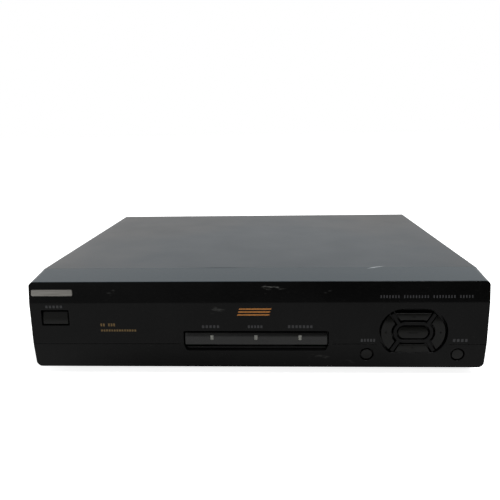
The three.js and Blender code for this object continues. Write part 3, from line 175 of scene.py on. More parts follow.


# %% [markdown]
# ## Moulded black plastic
# The fascia and the buttons are ABS, moulded against a spark-eroded steel tool. The tool leaves a fine
# dull grain, which scatters most of the gloss, and years of handling leave faint dust, smears and hair
# scratches. A noise of about a third of a millimetre makes the grain as bump, a broad noise drifts the
# colour a little, and stretched noise makes the scratches. The lip on top of the fascia lies nearly flat,
# so it is glossier to the eye. A grey-blue painted sheen is mixed into the colour of its upward faces,
# and a few rubs stand where hands and tools met it.

# %% Marks of use


def scuffed(tree, place, color, spots):
    """Rubs thin pale scratches into a colour; a spot is (x, z, width, height, strength) in bench mm."""
    for x, z, width, height, strength in spots:
        centre = to_frame([x, 0, z])
        off = add(tree, "VectorMath", [place, (centre[0], 0, centre[2])], operation="SUBTRACT")
        to_edge = (2 / (width * MM), 0.0, 2 / (height * MM))
        scaled = add(tree, "VectorMath", [off, to_edge], operation="MULTIPLY")
        radius = add(tree, "VectorMath", [scaled], operation="LENGTH").outputs["Value"]
        inside = add(tree, "MapRange", [radius, 1.0, 0.5])
        drawn = add(tree, "Mapping", {"Vector": place, "Scale": (0.25, 1, 1), "Rotation": (0, 0.25, 0)})
        streaks = add(tree, "TexNoise", {"Vector": drawn, "Scale": per_metre(1.6), "Detail": 4.0})
        thin = ramp(tree, streaks, (0.53, 0.0), (0.62, strength))
        mask = add(tree, "Math", [inside, thin], operation="MULTIPLY")
        rubbed = add(tree, "Mix", {0: mask, 6: color, 7: linear("#4a4a48")}, data_type="RGBA")
        color = rubbed.outputs[2]
    return color


def top_mark(tree, place, x, y, length, width, turn=0.0):
    """1 inside an ellipse on the top and 0 outside, with a soft edge; bench mm, turned by degrees."""
    size = (length / 2 * MM, width / 2 * MM, 1.0)
    where = {"Location": to_frame([x, y, 75.5]), "Rotation": (0, 0, math.radians(turn)), "Scale": size}
    turned = add(tree, "Mapping", {"Vector": place, **where}, vector_type="TEXTURE")
    radius = add(tree, "VectorMath", [turned], operation="LENGTH").outputs["Value"]
    return add(tree, "MapRange", [radius, 1.0, 0.25])


def nicked(tree, place, color):
    """Bares pale metal along one short scratch where the cover meets the front."""
    scratch = top_mark(tree, place, 97.8, 30.6, 17.0, 1.9, 22.7)
    return add(tree, "Mix", {0: scratch, 6: color, 7: linear("#a3a8aa")}, data_type="RGBA").outputs[2]


def lip_mask(tree, place):
    """1 on the faces that look up at the top of the front, 0 elsewhere."""
    normal = add(tree, "SeparateXYZ", [add(tree, "NewGeometry").outputs["Normal"]])
    height = add(tree, "SeparateXYZ", [place])
    level = add(tree, "MapRange", [normal.outputs["Z"], 0.6, 0.95])
    high = add(tree, "MapRange", [height.outputs["Z"], 0.0775, 0.079])
    return add(tree, "Math", [level, high], operation="MULTIPLY")


# %% Moulded ABS


def moulded_abs(
    name, dark, light, roughness, grain_mm, grain_depth, gloss=0.1, wear=0.12, top_gloss=None, film=0.0, spots=()
):
    """
    Dull ABS: colour drift, dust specks, hair scratches and a moulded grain. With a film (the share of painted
    sheen), the lip on top has its own gloss, a grey-blue painted sheen in its colour and the nick; the spots are
    rubbed pale.
    """
    material, tree, place = start_material(name)
    drift = add(tree, "TexNoise", {"Vector": place, "Scale": per_metre(60), "Detail": 3.0})
    color = ramp(tree, drift, (0.35, dark), (0.65, light))
    specks = add(tree, "TexNoise", {"Vector": place, "Scale": per_metre(1.1), "Detail": 2.0})
    dust = ramp(tree, specks, (0.66, 0.0), (0.74, wear))
    color = add(tree, "Mix", {0: dust, 6: color, 7: linear("#3a3936")}, data_type="RGBA").outputs[2]
    stretched = add(tree, "Mapping", {"Vector": place, "Scale": (0.06, 1, 1), "Rotation": (0, 0.5, 0)})
    hairs = add(tree, "TexNoise", {"Vector": stretched, "Scale": per_metre(0.8)})
    polished = ramp(tree, hairs, (0.70, 0.0), (0.73, 1.0))
    grain = add(tree, "TexNoise", {"Vector": place, "Scale": per_metre(grain_mm), "Detail": 2.0})
    if film:
        upward = lip_mask(tree, place)
        gloss = add(tree, "MapRange", [upward, 0, 1, gloss, top_gloss])
        # the upward faces at the top get a grey-blue painted sheen mixed into their colour
        painted_sheen = add(tree, "MapRange", [upward, 0, 1, 0, film])
        color = add(tree, "Mix", {0: painted_sheen, 6: color, 7: linear("#123846")}, data_type="RGBA").outputs[2]
        color = nicked(tree, place, color)
    finish_material(tree, {
        "Base Color": scuffed(tree, place, color, spots),
        "Roughness": add(tree, "MapRange", [polished, 0, 1, roughness, roughness - 0.12]),
        "Normal": add(tree, "Bump", {"Height": grain, "Strength": 0.5, "Distance": grain_depth * MM}),
        "IOR": 1.5,
        "Specular IOR Level": gloss,
    })
    return material


# The fascia shows the tool's grain and hardly any mirror; the keys are a shade lighter and finer
rubs = [
    (11, 67.0, 29, 4.4, 0.8), (57, 63.5, 9, 3.0, 0.5), (50, 9.5, 24, 6.0, 0.16),
    (-114, 64, 8, 7.0, 0.3), (73, 5, 16, 5.0, 0.12), (-30, 49, 14, 8, 0.25),
]
# film sets the share of the grey-blue painted sheen on the lip
fascia_abs = moulded_abs(
    "moulded ABS, spark-eroded grain", "#050505", "#080808", 0.2, 0.35, 0.02,
    gloss=0.055, top_gloss=0.385, film=0.34, spots=rubs,
)
key_abs = moulded_abs("moulded ABS, fine satin keys", "#080807", "#0b0b0a", 0.24, 0.22, 0.015, gloss=0.09)
component_resin = moulded_abs("moulded resin, matt", "#0e0e0e", "#161616", 0.6, 0.5, 0.05)
rubber = moulded_abs("moulded rubber, porous", "#0c0c0c", "#141414", 0.85, 0.6, 0.08, gloss=0.2, wear=0.5)
print("plastics:", fascia_abs.name, "|", key_abs.name)

# %% [markdown]
# ## Smooth plastics
# The indicator bar is acrylic tinted nearly black and left satin, so it looks a shade lighter and wetter
# than the fascia. The windows are the frosted ends of a clear light guide: frosting scatters the light
# inside, so they look pale grey even when the lamps are off. The collars and the insulators of the
# sockets, and the skins of the cables, are smooth plastics too.

# %% Tinted plastics


def tinted_plastic(name, dark, light, roughness, ior, drift_mm, gloss):
    """Smooth tinted plastic: a slow cloud of tint, and a faint ripple from the mould."""
    material, tree, place = start_material(name)
    cloud = add(tree, "TexNoise", {"Vector": place, "Scale": per_metre(drift_mm), "Detail": 2.0})
    ripple = add(tree, "TexNoise", {"Vector": place, "Scale": per_metre(2.5)})
    finish_material(tree, {
        "Base Color": ramp(tree, cloud, (0.3, dark), (0.7, light)),
        "Roughness": roughness,
        "Normal": add(tree, "Bump", {"Height": ripple, "Strength": 0.2, "Distance": 0.02 * MM}),
        "IOR": ior,
        "Specular IOR Level": gloss,
    })
    return material


smoked_acrylic = tinted_plastic("smoked acrylic, satin", "#0f0f0f", "#131312", 0.22, 1.49, 30, 0.2)
frosted_guide = tinted_plastic("frosted polystyrene", "#565652", "#686862", 0.45, 1.59, 3, 0.3)
blue_sleeve = tinted_plastic("shrunk vinyl sleeve", "#18243c", "#20304e", 0.3, 1.53, 8, 0.5)
ribbon_vinyl = tinted_plastic("vinyl ribbon", "#7c7d7b", "#8f908e", 0.55, 1.53, 6, 0.3)
white_resin = tinted_plastic("moulded nylon, natural", "#c9c5b6", "#d8d4c6", 0.4, 1.53, 5, 0.4)
red_resin = tinted_plastic("moulded ABS, red", "#8a1d1a", "#9c2622", 0.35, 1.53, 5, 0.4)
yellow_resin = tinted_plastic("moulded ABS, yellow", "#b58f1e", "#c79f2a", 0.35, 1.53, 5, 0.4)
print("bar:", smoked_acrylic.name, "| windows:", frosted_guide.name)

# %% [markdown]
# ## Painted steel
# The cover is sheet steel under charcoal stoved paint. Sprayed paint dries with a fine orange peel, a
# ripple about a millimetre across, that softens what it mirrors. Seen at a low angle it picks up the room
# and looks much paler than it is. A bluish painted reflection is mixed into the colour of the middle of
# the top. In one place at the front edge, where the joint with the fascia gapes, the paint loses its
# sheen: that is painted shade in the gap.

# %% Stoved paint


def stoved_paint(name, dark, light, roughness, gloss):
    """Semi-gloss paint with orange peel and cloudy rubbing; the light colour, a bluish painted reflection, fades
    in towards the middle.
    """
    material, tree, place = start_material(name)
    cloud = add(tree, "TexNoise", {"Vector": place, "Scale": per_metre(90), "Detail": 4.0})
    # a bluish painted reflection, strongest in the middle of the top
    middle = add(tree, "VectorMath", [place, (0.02, -0.06, 0.083)], operation="DISTANCE").outputs["Value"]
    painted_reflection = add(tree, "MapRange", [middle, 0.06, 0.2, 0.75, 0.0])
    amount = add(tree, "Math", [cloud, painted_reflection], operation="ADD")
    scuff = add(tree, "TexNoise", {"Vector": place, "Scale": per_metre(45), "Detail": 5.0})
    peel = add(tree, "TexNoise", {"Vector": place, "Scale": per_metre(1.2), "Detail": 2.0})
    # painted shade in the gaping joint at the front edge: the paint's sheen is taken out there
    gap = top_mark(tree, place, -29.0, 30.4, 62.0, 4.4)
    finish_material(tree, {
        "Base Color": nicked(tree, place, ramp(tree, amount, (0.4, dark), (1.0, light))),
        "Roughness": add(tree, "MapRange", [scuff, 0.3, 0.7, roughness - 0.02, roughness + 0.02]),
        "Normal": add(tree, "Bump", {"Height": peel, "Strength": 0.3, "Distance": 0.01 * MM}),
        "IOR": 1.5,
        "Specular IOR Level": add(tree, "MapRange", [gap, 0, 1, gloss, 0.1 * gloss]),
    })
    return material


case_paint = stoved_paint("stoved paint on steel, charcoal", "#191b1b", "#142128", 0.38, 0.35)
print("case:", case_paint.name)

# %% [markdown]
# ## Plated and bare metals
# Inside and behind there are zinc-plated sheet, tinned cans, nickel sockets and a satin aluminium plate.
# Each is a metal with a slightly uneven roughness, because plating and rolling are never perfectly even.
# The grain of rolled or brushed metal is noise stretched along the direction of the tool.

# %% Metals


def metal(name, dark, light, roughness, grain_mm, stretch=(1, 1, 1), unevenness=0.1):
    """A metal whose roughness and tone follow one grain."""
    material, tree, place = start_material(name)
    along = add(tree, "Mapping", {"Vector": place, "Scale": stretch})
    grain = add(tree, "TexNoise", {"Vector": along, "Scale": per_metre(grain_mm), "Detail": 4.0})
    finish_material(tree, {
        "Base Color": ramp(tree, grain, (0.35, dark), (0.65, light)),
        "Metallic": 1.0,
        "Roughness": add(tree, "MapRange", [grain, 0.3, 0.7, roughness, roughness + unevenness]),
        "Normal": add(tree, "Bump", {"Height": grain, "Strength": 0.15, "Distance": 0.02 * MM}),
    })
    return material


satin_aluminium = metal("aluminium, brushed along its length", "#a9a7a1", "#c4c2bb", 0.32, 0.5, (0.03, 1, 1))
dull_aluminium = metal("aluminium, brushed and clouded", "#676561", "#787672", 0.36, 0.5, (0.03, 1, 1))
zinc_sheet = metal("zinc-plated steel sheet", "#8f9291", "#a8abaa", 0.34, 7, unevenness=0.16)
tinned_sheet = metal("tin-plated steel sheet", "#b3b4b1", "#c6c7c4", 0.26, 2)
nickel_plate = metal("nickel plate on brass", "#b9b4a6", "#cdc9bd", 0.2, 1)
gold_plate = metal("gold flash on spring bronze", "#b98d3c", "#cfa552", 0.25, 1)
oxide_screw = metal("black oxide on steel", "#1d1d1d", "#2a2a2a", 0.35, 0.6)
core_steel = metal("varnished core laminations", "#55524c", "#6b6862", 0.45, 0.5, (1, 1, 0.1))
sink_aluminium = metal("aluminium, as extruded", "#8d8f90", "#a5a7a8", 0.3, 0.4, (1, 1, 0.04))
print("metals:", satin_aluminium.name, "|", zinc_sheet.name, "|", nickel_plate.name)

# %% [markdown]
# ## Circuit boards
# A circuit board is glass cloth in epoxy under a green mask: copper traces show through as lighter lines
# that run straight and turn square. A brick pattern drawn at the pitch of the traces suggests them well
# enough for a part that is hidden in the case.

# %% Circuit board
board_mask, tree, place = start_material("solder mask on glass epoxy")
traces = add(tree, "TexBrick", {
    "Vector": place, "Scale": per_metre(40), "Brick Width": 0.21, "Row Height": 0.06, "Mortar Size": 0.01,
    "Color1": linear("#1d4a2a"), "Color2": linear("#245634"), "Mortar": linear("#3d7a4c"),
})
cloth = add(tree, "TexNoise", {"Vector": place, "Scale": per_metre(0.8)})
weave = add(tree, "Bump", {"Height": cloth, "Strength": 0.2, "Distance": 0.03 * MM})
finish_material(tree, {"Base Color": traces, "Roughness": 0.4, "IOR": 1.55, "Normal": weave})
print("boards:", board_mask.name)

# %% [markdown]
# ## Outlines and rings
# Nearly every moulded part here is one outline in the plane of the front that is carried back into the
# case, a little wider or narrower at each depth. So a few helpers are enough: make an outline, move it
# inwards, and join the rings. Corners are rounded by averaging each point with its neighbours.

# %% Outlines in the plane of the front


def arc(centre, radius, start, end, count):
    """Points on a circle about a centre (x, z), from one angle in degrees to another."""
    angle = np.radians(np.linspace(start, end, count))
    return np.column_stack([centre[0] + radius * np.cos(angle), centre[1] + radius * np.sin(angle)])


def oval(centre, half, radius, count):
    """Two half circles joined by straight lines of length twice half."""
    x, z = centre
    return np.vstack([arc((x + half, z), radius, -90, 90, count), arc((x - half, z), radius, 90, 270, count)])


def walked(outline):
    """The outline closed by its first point, and the distance walked up to each point."""
    closed = np.vstack([outline, outline[:1]])
    return closed, np.concatenate([[0], np.cumsum(np.hypot(*np.diff(closed, axis=0).T))])


def along_line(at, along, closed):
    """The points of a closed outline at these distances."""
    return np.column_stack([np.interp(at, along, closed[:, k]) for k in (0, 1)])


def loop(points, count, soften=0.0):
    """
    The closed outline as count points at equal steps, counter-clockwise. A running average over soften mm
    rounds its corners.
    """
    points = np.asarray(points, float)
    shoelace = points[:, 0] * np.roll(points[:, 1], -1) - points[:, 1] * np.roll(points[:, 0], -1)
    closed, along = walked(points[::-1] if shoelace.sum() < 0 else points)
    finer = 8
    dense = along_line(np.linspace(0, along[-1], count * finer, endpoint=False), along, closed)
    reach = int(round(soften / 2 / along[-1] * count * finer))
    if reach:
        dense = np.mean([np.roll(dense, k, axis=0) for k in range(-reach, reach + 1)], axis=0)
    return dense[::finer]


def circle(centre, radius, count):
    """A round loop."""
    return loop(arc(centre, radius, 0, 354, 60), count)


def pane(centre, width, height, count, soften=0.0):
    """An upright rectangular loop."""
    x, z, w, h = *centre, width / 2, height / 2
    return loop([[x - w, z - h], [x + w, z - h], [x + w, z + h], [x - w, z + h]], count, soften)


# %% Moving an outline inwards


def inset(outline, distance):
    """
    Each point of a counter-clockwise outline moved inwards, along the mean of its two sides' normals.
    At a convex bend of radius r it moves at most 0.8 r, so that the ring doesn't fold over itself.
    """
    ahead = np.roll(outline, -1, axis=0) - outline
    behind = outline - np.roll(outline, 1, axis=0)
    sides = []
    for step in (ahead, behind):
        sides.append(np.column_stack([-step[:, 1], step[:, 0]]) / np.maximum(np.hypot(*step.T), 1e-9)[:, None])
    mean = sides[0] + sides[1]
    mean /= np.maximum(np.hypot(*mean.T), 1e-9)[:, None]
    stretch = np.maximum((mean * sides[0]).sum(axis=1), 0.6)
    if distance <= 0:
        return outline + distance * mean / stretch[:, None]
    lengths = (np.hypot(*ahead.T) + np.hypot(*behind.T)) / 2
    bend = (behind[:, 0] * ahead[:, 1] - behind[:, 1] * ahead[:, 0]) / np.maximum(lengths, 1e-9) ** 3
    bend = sum(np.roll(bend, k) for k in (-1, 0, 1)) / 3
    moved = np.minimum(distance, 0.8 / np.maximum(bend, 1e-6))
    moved = sum(np.roll(moved, k) for k in (-2, -1, 0, 1, 2)) / 5
    return outline + moved[:, None] * mean / stretch[:, None]


def standing(outline, depth):
    """An outline (x, z) as points (x, depth, z); the depth is one number, or one for each point."""
    return np.column_stack([outline[:, 0], np.broadcast_to(depth, len(outline)), outline[:, 1]])


# %% Rings joined into a surface


def bands(near, far):
    """Four-sided faces between rings of point numbers and the rings beyond them."""
    return np.stack([near, np.roll(near, -1, 1), np.roll(far, -1, 1), far], axis=-1).reshape(-1, 4)


def joined(rings, ends=True, around=False):
    """
    Rings of equal length joined one to the next. Flat faces close both ends, or the last ring meets the
    first.
    """
    rings = np.asarray(rings, float)
    count, size = rings.shape[:2]
    index = np.arange(count * size).reshape(count, size)
    faces = (bands(index, np.roll(index, -1, axis=0)) if around else bands(index[:-1], index[1:])).tolist()
    if ends and not around:
        faces += [index[0].tolist(), index[-1].tolist()]
    return rings.reshape(-1, 3), faces


def pressed(outline, layers, slant=None):
    """One outline carried back: each layer is (inset, depth), or (inset, depth, share of the slant to add)."""
    rings = []
    for sideways, depth, *share in layers:
        moved = inset(outline, sideways)
        rings.append(standing(moved, depth + share[0] * slant(*moved.T) if slant and share else depth))
    return joined(rings)


def quarter_round(radius, steps):
    """(radius (1 - sin(angle)), radius (1 - cos(angle))) over a quarter turn."""
    angle = np.linspace(0, np.pi / 2, steps + 1)
    return [(radius * (1 - math.sin(a)), radius * (1 - math.cos(a))) for a in angle]


def rounded_edge(face, radius, steps=4):
    """Layers of a quarter-round edge that ends level with the face at depth face."""
    return [(radius * 1.3, face, 1), *[(s, face + d, 1) for s, d in quarter_round(radius, steps)]]


def mouth_edge(radius, wall):
    """Layers of a hole: a quarter-round edge, then its wall."""
    return [(-s, d) for s, d in quarter_round(radius, 3)] + [(0, wall)]


def together(*parts):
    """Several (points, faces) as one."""
    points, faces, start = [], [], 0
    for some_points, some_faces in parts:
        points.append(some_points)
        faces += [[start + i for i in face] for face in some_faces]
        start += len(some_points)
    return np.vstack(points), faces


# %% Pieces that ride on a body


def make_piece(name, parts, material, body="receiver_case", replaces=(), slot=None, facing=None):
    """
    A named mesh that rides on a body: doubles merged, faces turned outwards, and edges sharper than 32
    degrees marked, as are those at an opening.
    """
    points, faces = parts
    mesh = bpy.data.meshes.new(name)
    mesh.from_pydata(to_frame(points).tolist(), [], faces)
    work = bmesh.new()
    work.from_mesh(mesh)
    bmesh.ops.remove_doubles(work, verts=work.verts, dist=2e-6)
    bmesh.ops.dissolve_degenerate(work, edges=work.edges, dist=1e-7)
    bmesh.ops.delete(work, geom=[v for v in work.verts if not v.link_faces], context="VERTS")
    bmesh.ops.recalc_face_normals(work, faces=work.faces)
    if facing is not None:
        lean = sum((f.normal * f.calc_area() for f in work.faces), Vector())
        if lean.dot(Vector(facing)) < 0:
            bmesh.ops.reverse_faces(work, faces=work.faces)
    cut_edges = np.array([edge.is_boundary for edge in work.edges], bool)
    work.to_mesh(mesh)
    work.free()
    mesh.polygons.foreach_set("use_smooth", [True] * len(mesh.polygons))
    mesh.set_sharp_from_angle(angle=math.radians(32))
    creased = np.zeros(len(mesh.edges), bool)
    mesh.edges.foreach_get("use_edge_sharp", creased)
    mesh.edges.foreach_set("use_edge_sharp", creased | cut_edges)
    mesh.materials.append(material)
    piece = bpy.data.objects.new(name, mesh)
    scene_objects.link(piece)
    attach(piece, body)
    if replaces:
        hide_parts(*replaces)
    return piece


def thicken(piece, thickness):
    """Gives a one-sided skin its wall, towards the inside."""
    wall = piece.modifiers.new("wall", "SOLIDIFY")
    wall.thickness = thickness * MM
    wall.offset = -1


# %% [markdown]
# ## A face with holes in it
# A panel with holes could be cut with booleans, but they leave ragged triangles around each hole. Here the
# panel is a plain grid, and the block of cells around a hole is redrawn as rings that run from the edge of
# the block to the hole's outline. More rings then turn over the edge and go back as the wall of the hole.

# %% Grid with holes


def lines(*stops):
    """Grid lines: each stop is (place, number of cells up to the next stop)."""
    runs = [np.linspace(a, b, n, endpoint=False) for (a, n), (b, _) in zip(stops[:-1], stops[1:])]
    return np.concatenate([*runs, [stops[-1][0]]])


def matched(outline, centre, corners, counts):
    """
    Points on an outline that pair with a block's border. Each corner meets the point that lies furthest out
    on its diagonal, and counts holds the number of points from one corner to the next.
    """
    closed, along = walked(outline)
    starts = [along[np.argmax(outline @ np.sign(np.subtract(corner, centre)))] for corner in corners]
    steps = []
    for first, last, count in zip(starts, starts[1:] + starts[:1], counts):
        steps.append(np.linspace(first, last + (along[-1] if last <= first else 0), count, endpoint=False))
    return along_line(np.concatenate(steps) % along[-1], along, closed)


def edge_rings(outline, layers):
    """An outline as rings of (x, up, depth), one for each layer of (inset, depth)."""
    return [np.column_stack([inset(outline, s), np.full(len(outline), d)]) for s, d in layers]


def pierced(across, up, holes, rings):
    """
    Points (x, up, depth) and faces of a grid. Each hole is (x0, x1, z0, z1, outline, layers): the block of
    cells that it takes up, its outline, and layers as in pressed.
    """
    x, z = np.meshgrid(across, up, indexing="ij")
    points = [np.column_stack([x.ravel(), z.ravel(), np.zeros(x.size)])]
    index = np.arange(x.size).reshape(x.shape)
    keep = np.ones((len(across) - 1, len(up) - 1), bool)
    faces, total = [], x.size
    for x0, x1, z0, z1, outline, layers in holes:
        i0, i1 = [int(np.argmin(np.abs(across - v))) for v in (x0, x1)]
        j0, j1 = [int(np.argmin(np.abs(up - v))) for v in (z0, z1)]
        keep[i0:i1, j0:j1] = False
        sides = [index[i0:i1, j0], index[i1, j0:j1], index[i1:i0:-1, j1], index[i0, j1:j0:-1]]
        border = np.concatenate(sides)
        corners = [(x0, z0), (x1, z0), (x1, z1), (x0, z1)]
        mouth = matched(outline, ((x0 + x1) / 2, (z0 + z1) / 2), corners, [len(side) for side in sides])
        shares = np.linspace(0, 1, rings + 1)[1:, None, None]
        spread = (1 - shares) * points[0][border, :2] + shares * inset(mouth, layers[0][0])
        rows = [np.column_stack([ring, np.zeros(len(ring))]) for ring in spread]
        rows += edge_rings(mouth, layers[1:])
        fresh = total + np.arange(len(rows) * len(border)).reshape(len(rows), -1)
        numbers = np.vstack([border, fresh])
        faces.append(bands(numbers[:-1], numbers[1:]))
        points += rows
        total += fresh.size
    cells = np.stack([index[:-1, :-1], index[1:, :-1], index[1:, 1:], index[:-1, 1:]], axis=-1)[keep]
    return np.vstack(points), np.vstack([cells, *faces]).tolist()


# %% [markdown]
# ## Fascia
# The front is one moulding, open at the back. Its section, from below to above, is a narrow underside, a
# low face that leans back towards the table, an upright main face, a band that leans back, and a lip that
# runs up to the cover. That section is carried across the full width, and at both ends its top and bottom
# edges roll over in a quarter round, as do its corners seen from the front.

# %% Section of the fascia
half_width = 180.0
low_top, face_top, crest = 21.0, 55.0, 71.8  # tops of the low face, the main face and the leaning band
low_lean, band_lean = 3.0, 2.5
lip_depth, lip_top = 30.0, 75.5
underside, lip_length = lip_depth - low_lean, math.hypot(lip_depth - band_lean, lip_top - crest)
section_at = np.array([-underside, 0, low_top, face_top, crest, crest + lip_length])
section_y = np.array([lip_depth, low_lean, 0, 0, band_lean, lip_depth])
section_z = np.array([0, 0, low_top, face_top, crest, lip_top])
top_radius, bottom_radius, side_radius = 4.0, 5.5, 0.8


def smoothed_section(step=0.1, reach=0.5):
    """The section sampled finely, its corners rounded by a running average of 2 x reach mm."""
    at = np.arange(section_at[0], section_at[-1] + step / 2, step)
    width = int(round(2 * reach / step)) + 1
    pad = width // 2
    rounded = []
    for values in (section_y, section_z):
        fine = np.interp(at, section_at, values)
        before = fine[0] - (fine[1] - fine[0]) * np.arange(pad, 0, -1)
        after = fine[-1] + (fine[-1] - fine[-2]) * np.arange(1, pad + 1)
        rounded.append(np.convolve(np.concatenate([before, fine, after]), np.ones(width) / width, "valid"))
    return at, *rounded


fine_at, fine_y, fine_z = smoothed_section()
fine_y += 0.3 * np.exp(-(((fine_at - low_top) / 0.22) ** 2))  # the tool's parting line


def drawn_in(across, radius):
    """How far a quarter round of this radius draws the section in, at a place across."""
    beyond = np.clip(np.abs(across) - (half_width - radius), 0, radius)
    return radius - np.sqrt(radius**2 - beyond**2)


def on_fascia(across, up, depth):
    """
    Points of the skin from x across, the distance up the section and the depth behind it. Near the ends
    quarter rounds draw the section in from below, from above and from the side.
    """
    low, high = drawn_in(across, bottom_radius), drawn_in(across, top_radius)
    front = (up >= 0) & (up <= crest)
    at = np.where(front, np.clip(up, low, crest - high), up)
    y = np.interp(at, fine_at, fine_y)
    z = np.interp(at, fine_at, fine_z) + np.where(up < 0, low, 0) - np.where(up > crest, high, 0)
    fade = np.clip((lip_depth - y) / lip_depth, 0, 1)
    return np.column_stack([across, np.minimum(y + depth + drawn_in(across, side_radius) * fade, lip_depth), z])


print("section corners:", np.round(np.column_stack([section_y, section_z]), 1).tolist())

# %% Holes of the fascia
power_at, cluster_at = (-159.7, 42.9), np.array([122.9, 30.4])
round_xs, round_z, round_radius, round_hole = (87.5, 158.3), 11.9, 4.4, 5.5
lens_half, lens_low, lens_top = 56.4, 20.8, 30.5
scoop_low, scoop_inset, hole_play = 15.0, 2.2, 0.9
well_radius, well_drop, half_straight = 19.9, 16.8, 6.8

well = oval(cluster_at, half_straight, well_radius, 60)
well[:, 1] = np.maximum(well[:, 1], cluster_at[1] - well_drop)
mouth_half, mouth_top = lens_half + hole_play, lens_top + hole_play + 0.3
scoop_half, scoop_top = mouth_half - scoop_inset, scoop_low + 4.4
mouth_corners = [
    (-scoop_half, scoop_low), (scoop_half, scoop_low), (mouth_half, scoop_top),
    (mouth_half, mouth_top), (-mouth_half, mouth_top), (-mouth_half, scoop_top),
]
button_edge = mouth_edge(0.35, 3.6)
fascia_holes = [
    (-175.0, -144.5, 33.0, 53.0, pane(power_at, 22.4, 12.8, 120, 1.2), button_edge),
    (79.6, 94.6, 4.2, 19.4, circle((round_xs[0], round_z), round_hole, 120), button_edge),
    (151.2, 165.4, 4.2, 19.4, circle((round_xs[1], round_z), round_hole, 120), button_edge),
    (94.6, 151.2, 11.5, 52.0, loop(well, 240, 0.8), mouth_edge(0.3, 6.0)),
    (-62.0, 62.0, 12.5, 34.5, loop(mouth_corners, 360, 1.4), mouth_edge(0.35, 6.0)),
]
print("holes in the fascia:", len(fascia_holes))

# %% Fascia skin: its grid lines meet the edges of the blocks around the holes
roll_start = 175.0
end_lines = roll_start + (half_width - roll_start) * np.sin(np.radians(np.linspace(0, 90, 9)))
inner_lines = lines(
    (-roll_start, 16), (-144.5, 8), (-62, 44), (62, 3), (79.6, 12), (94.6, 36), (151.2, 12), (165.4, 2),
    (roll_start, 0),
)
across = np.concatenate([-end_lines[::-1][:-1], inner_lines, end_lines[1:]])
up = lines(
    (-underside, 3), (-1, 4), (1, 2), (4.2, 6), (11.5, 1), (12.5, 6), (19.4, 2), (20.4, 8), (21.6, 2),
    (22.6, 8), (33, 1), (34.5, 12), (52, 1), (53, 6), (57, 5), (crest - 1, 8), (crest + 1, 6),
    (crest + lip_length, 0),
)
flat_points, skin_faces = pierced(across, up, fascia_holes, rings=5)
grid = np.arange(len(across) * len(up)).reshape(len(across), len(up))
skin_faces += [grid[0].tolist(), grid[-1].tolist()]
fascia = make_piece(
    "front_moulding", (on_fascia(*flat_points.T), skin_faces), fascia_abs,
    replaces=["front_fascia"], slot="black_plastic", facing=(0, -1, 0),
)
thicken(fascia, 1.8)
print("fascia faces:", len(fascia.data.polygons))

# %% [markdown]
# ## Scoop and card slot
# Under the bar the front is scooped out so that a fingertip can reach the card. The scoop's floor runs in
# a little above the low face and is nearly flat. Behind it stands an upright ledge with the slot, a dark
# gap. It is one small surface: straight across, with a profile from the low face to the back wall, whose
# half width grows with height.

# %% Scoop
low_face_y = low_lean * (1 - scoop_low / low_top)
profile = np.array([
    (low_face_y + 0.05, scoop_low), (3.5, 15.7), (3.8, 16.0), (3.8, 17.4),
    (9.0, 17.4), (9.0, 19.0), (4.3, 19.0), (4.3, 22.5),
])
card_half, overlap, points_across = 28.5, 0.3, 61
half_at = np.interp(profile[:, 1], [scoop_low, scoop_top], [scoop_half, mouth_half]) + overlap
half_at = np.where(profile[:, 0] > 5, card_half, half_at)
scoop_x = half_at[:, None] * np.linspace(-1, 1, points_across)
scoop_points = np.stack(np.broadcast_arrays(scoop_x, profile[:, :1], profile[:, 1:]), axis=-1).reshape(-1, 3)
index = np.arange(scoop_x.size).reshape(scoop_x.shape)
scoop_faces = np.stack([index[:-1, :-1], index[:-1, 1:], index[1:, 1:], index[1:, :-1]], -1).reshape(-1, 4)
scoop = make_piece(
    "scoop", (scoop_points, scoop_faces.tolist()), fascia_abs, replaces=["front_fascia"], facing=(0, -1, 0.3)
)
thicken(scoop, 0.6)
print("scoop faces:", len(scoop.data.polygons))

# %% [markdown]
# ## Rim and spokes of the button cluster
# Between the five buttons stands a fixed rim with four spokes, part of the moulding. The rim is a ring with
# an oval course: its outer and inner edges are rounded, so the ring is drawn as a closed strip of layers
# that comes forward along the outside and goes back along the inside. The spokes are short rounded bars.

# %% Rim and spokes
web_front, web_back, edge_round = 0.5, 6.0, 0.3
rim_outer, rim_inner = 8.6, 6.0
spoke_angle, spoke_width, spoke_reach = 58.0, 2.8, (8.0, 18.0)


def rim_side(radius, way):
    """Rings of one side of the rim, from its back to its crest; way is 1 outside and -1 inside."""
    course = oval(cluster_at, half_straight, radius, 50)
    front = [(way * d, web_front + s) for s, d in quarter_round(edge_round, 3)]
    return [standing(inset(course, sideways), depth) for sideways, depth in [(0, web_back), *front]]


web_parts = [joined([*rim_side(rim_outer, 1), *rim_side(rim_inner, -1)[::-1]], around=True)]
local = pane((0, 0), spoke_reach[1] - spoke_reach[0], spoke_width, 60, 0.3)
spoke_layers = [*rounded_edge(web_front, edge_round), (0, web_back)]
rib_layers = [(0, web_back - 0.5), (0, web_back)]
for side in (-1, 1):
    for rise in (-1, 1):
        angle = math.radians(rise * spoke_angle)
        along = np.array([side * math.cos(angle), math.sin(angle)])
        out = np.array([-along[1], along[0]])
        centre = cluster_at + [side * half_straight, 0] + along * sum(spoke_reach) / 2
        # a spoke, and a thin rib at its back that reaches further out, into the wall of the well
        for width, shift, layers in ((1, 0, spoke_layers), (0.3, 2.2, rib_layers)):
            strip = centre + local[:, :1] * along + local[:, 1:] * out * width + along * shift
            web_parts.append(pressed(loop(strip, 60), layers))
rim = make_piece("cluster_rim", together(*web_parts), fascia_abs, replaces=["front_fascia"], slot="black_plastic")
print("rim faces:", len(rim.data.polygons))

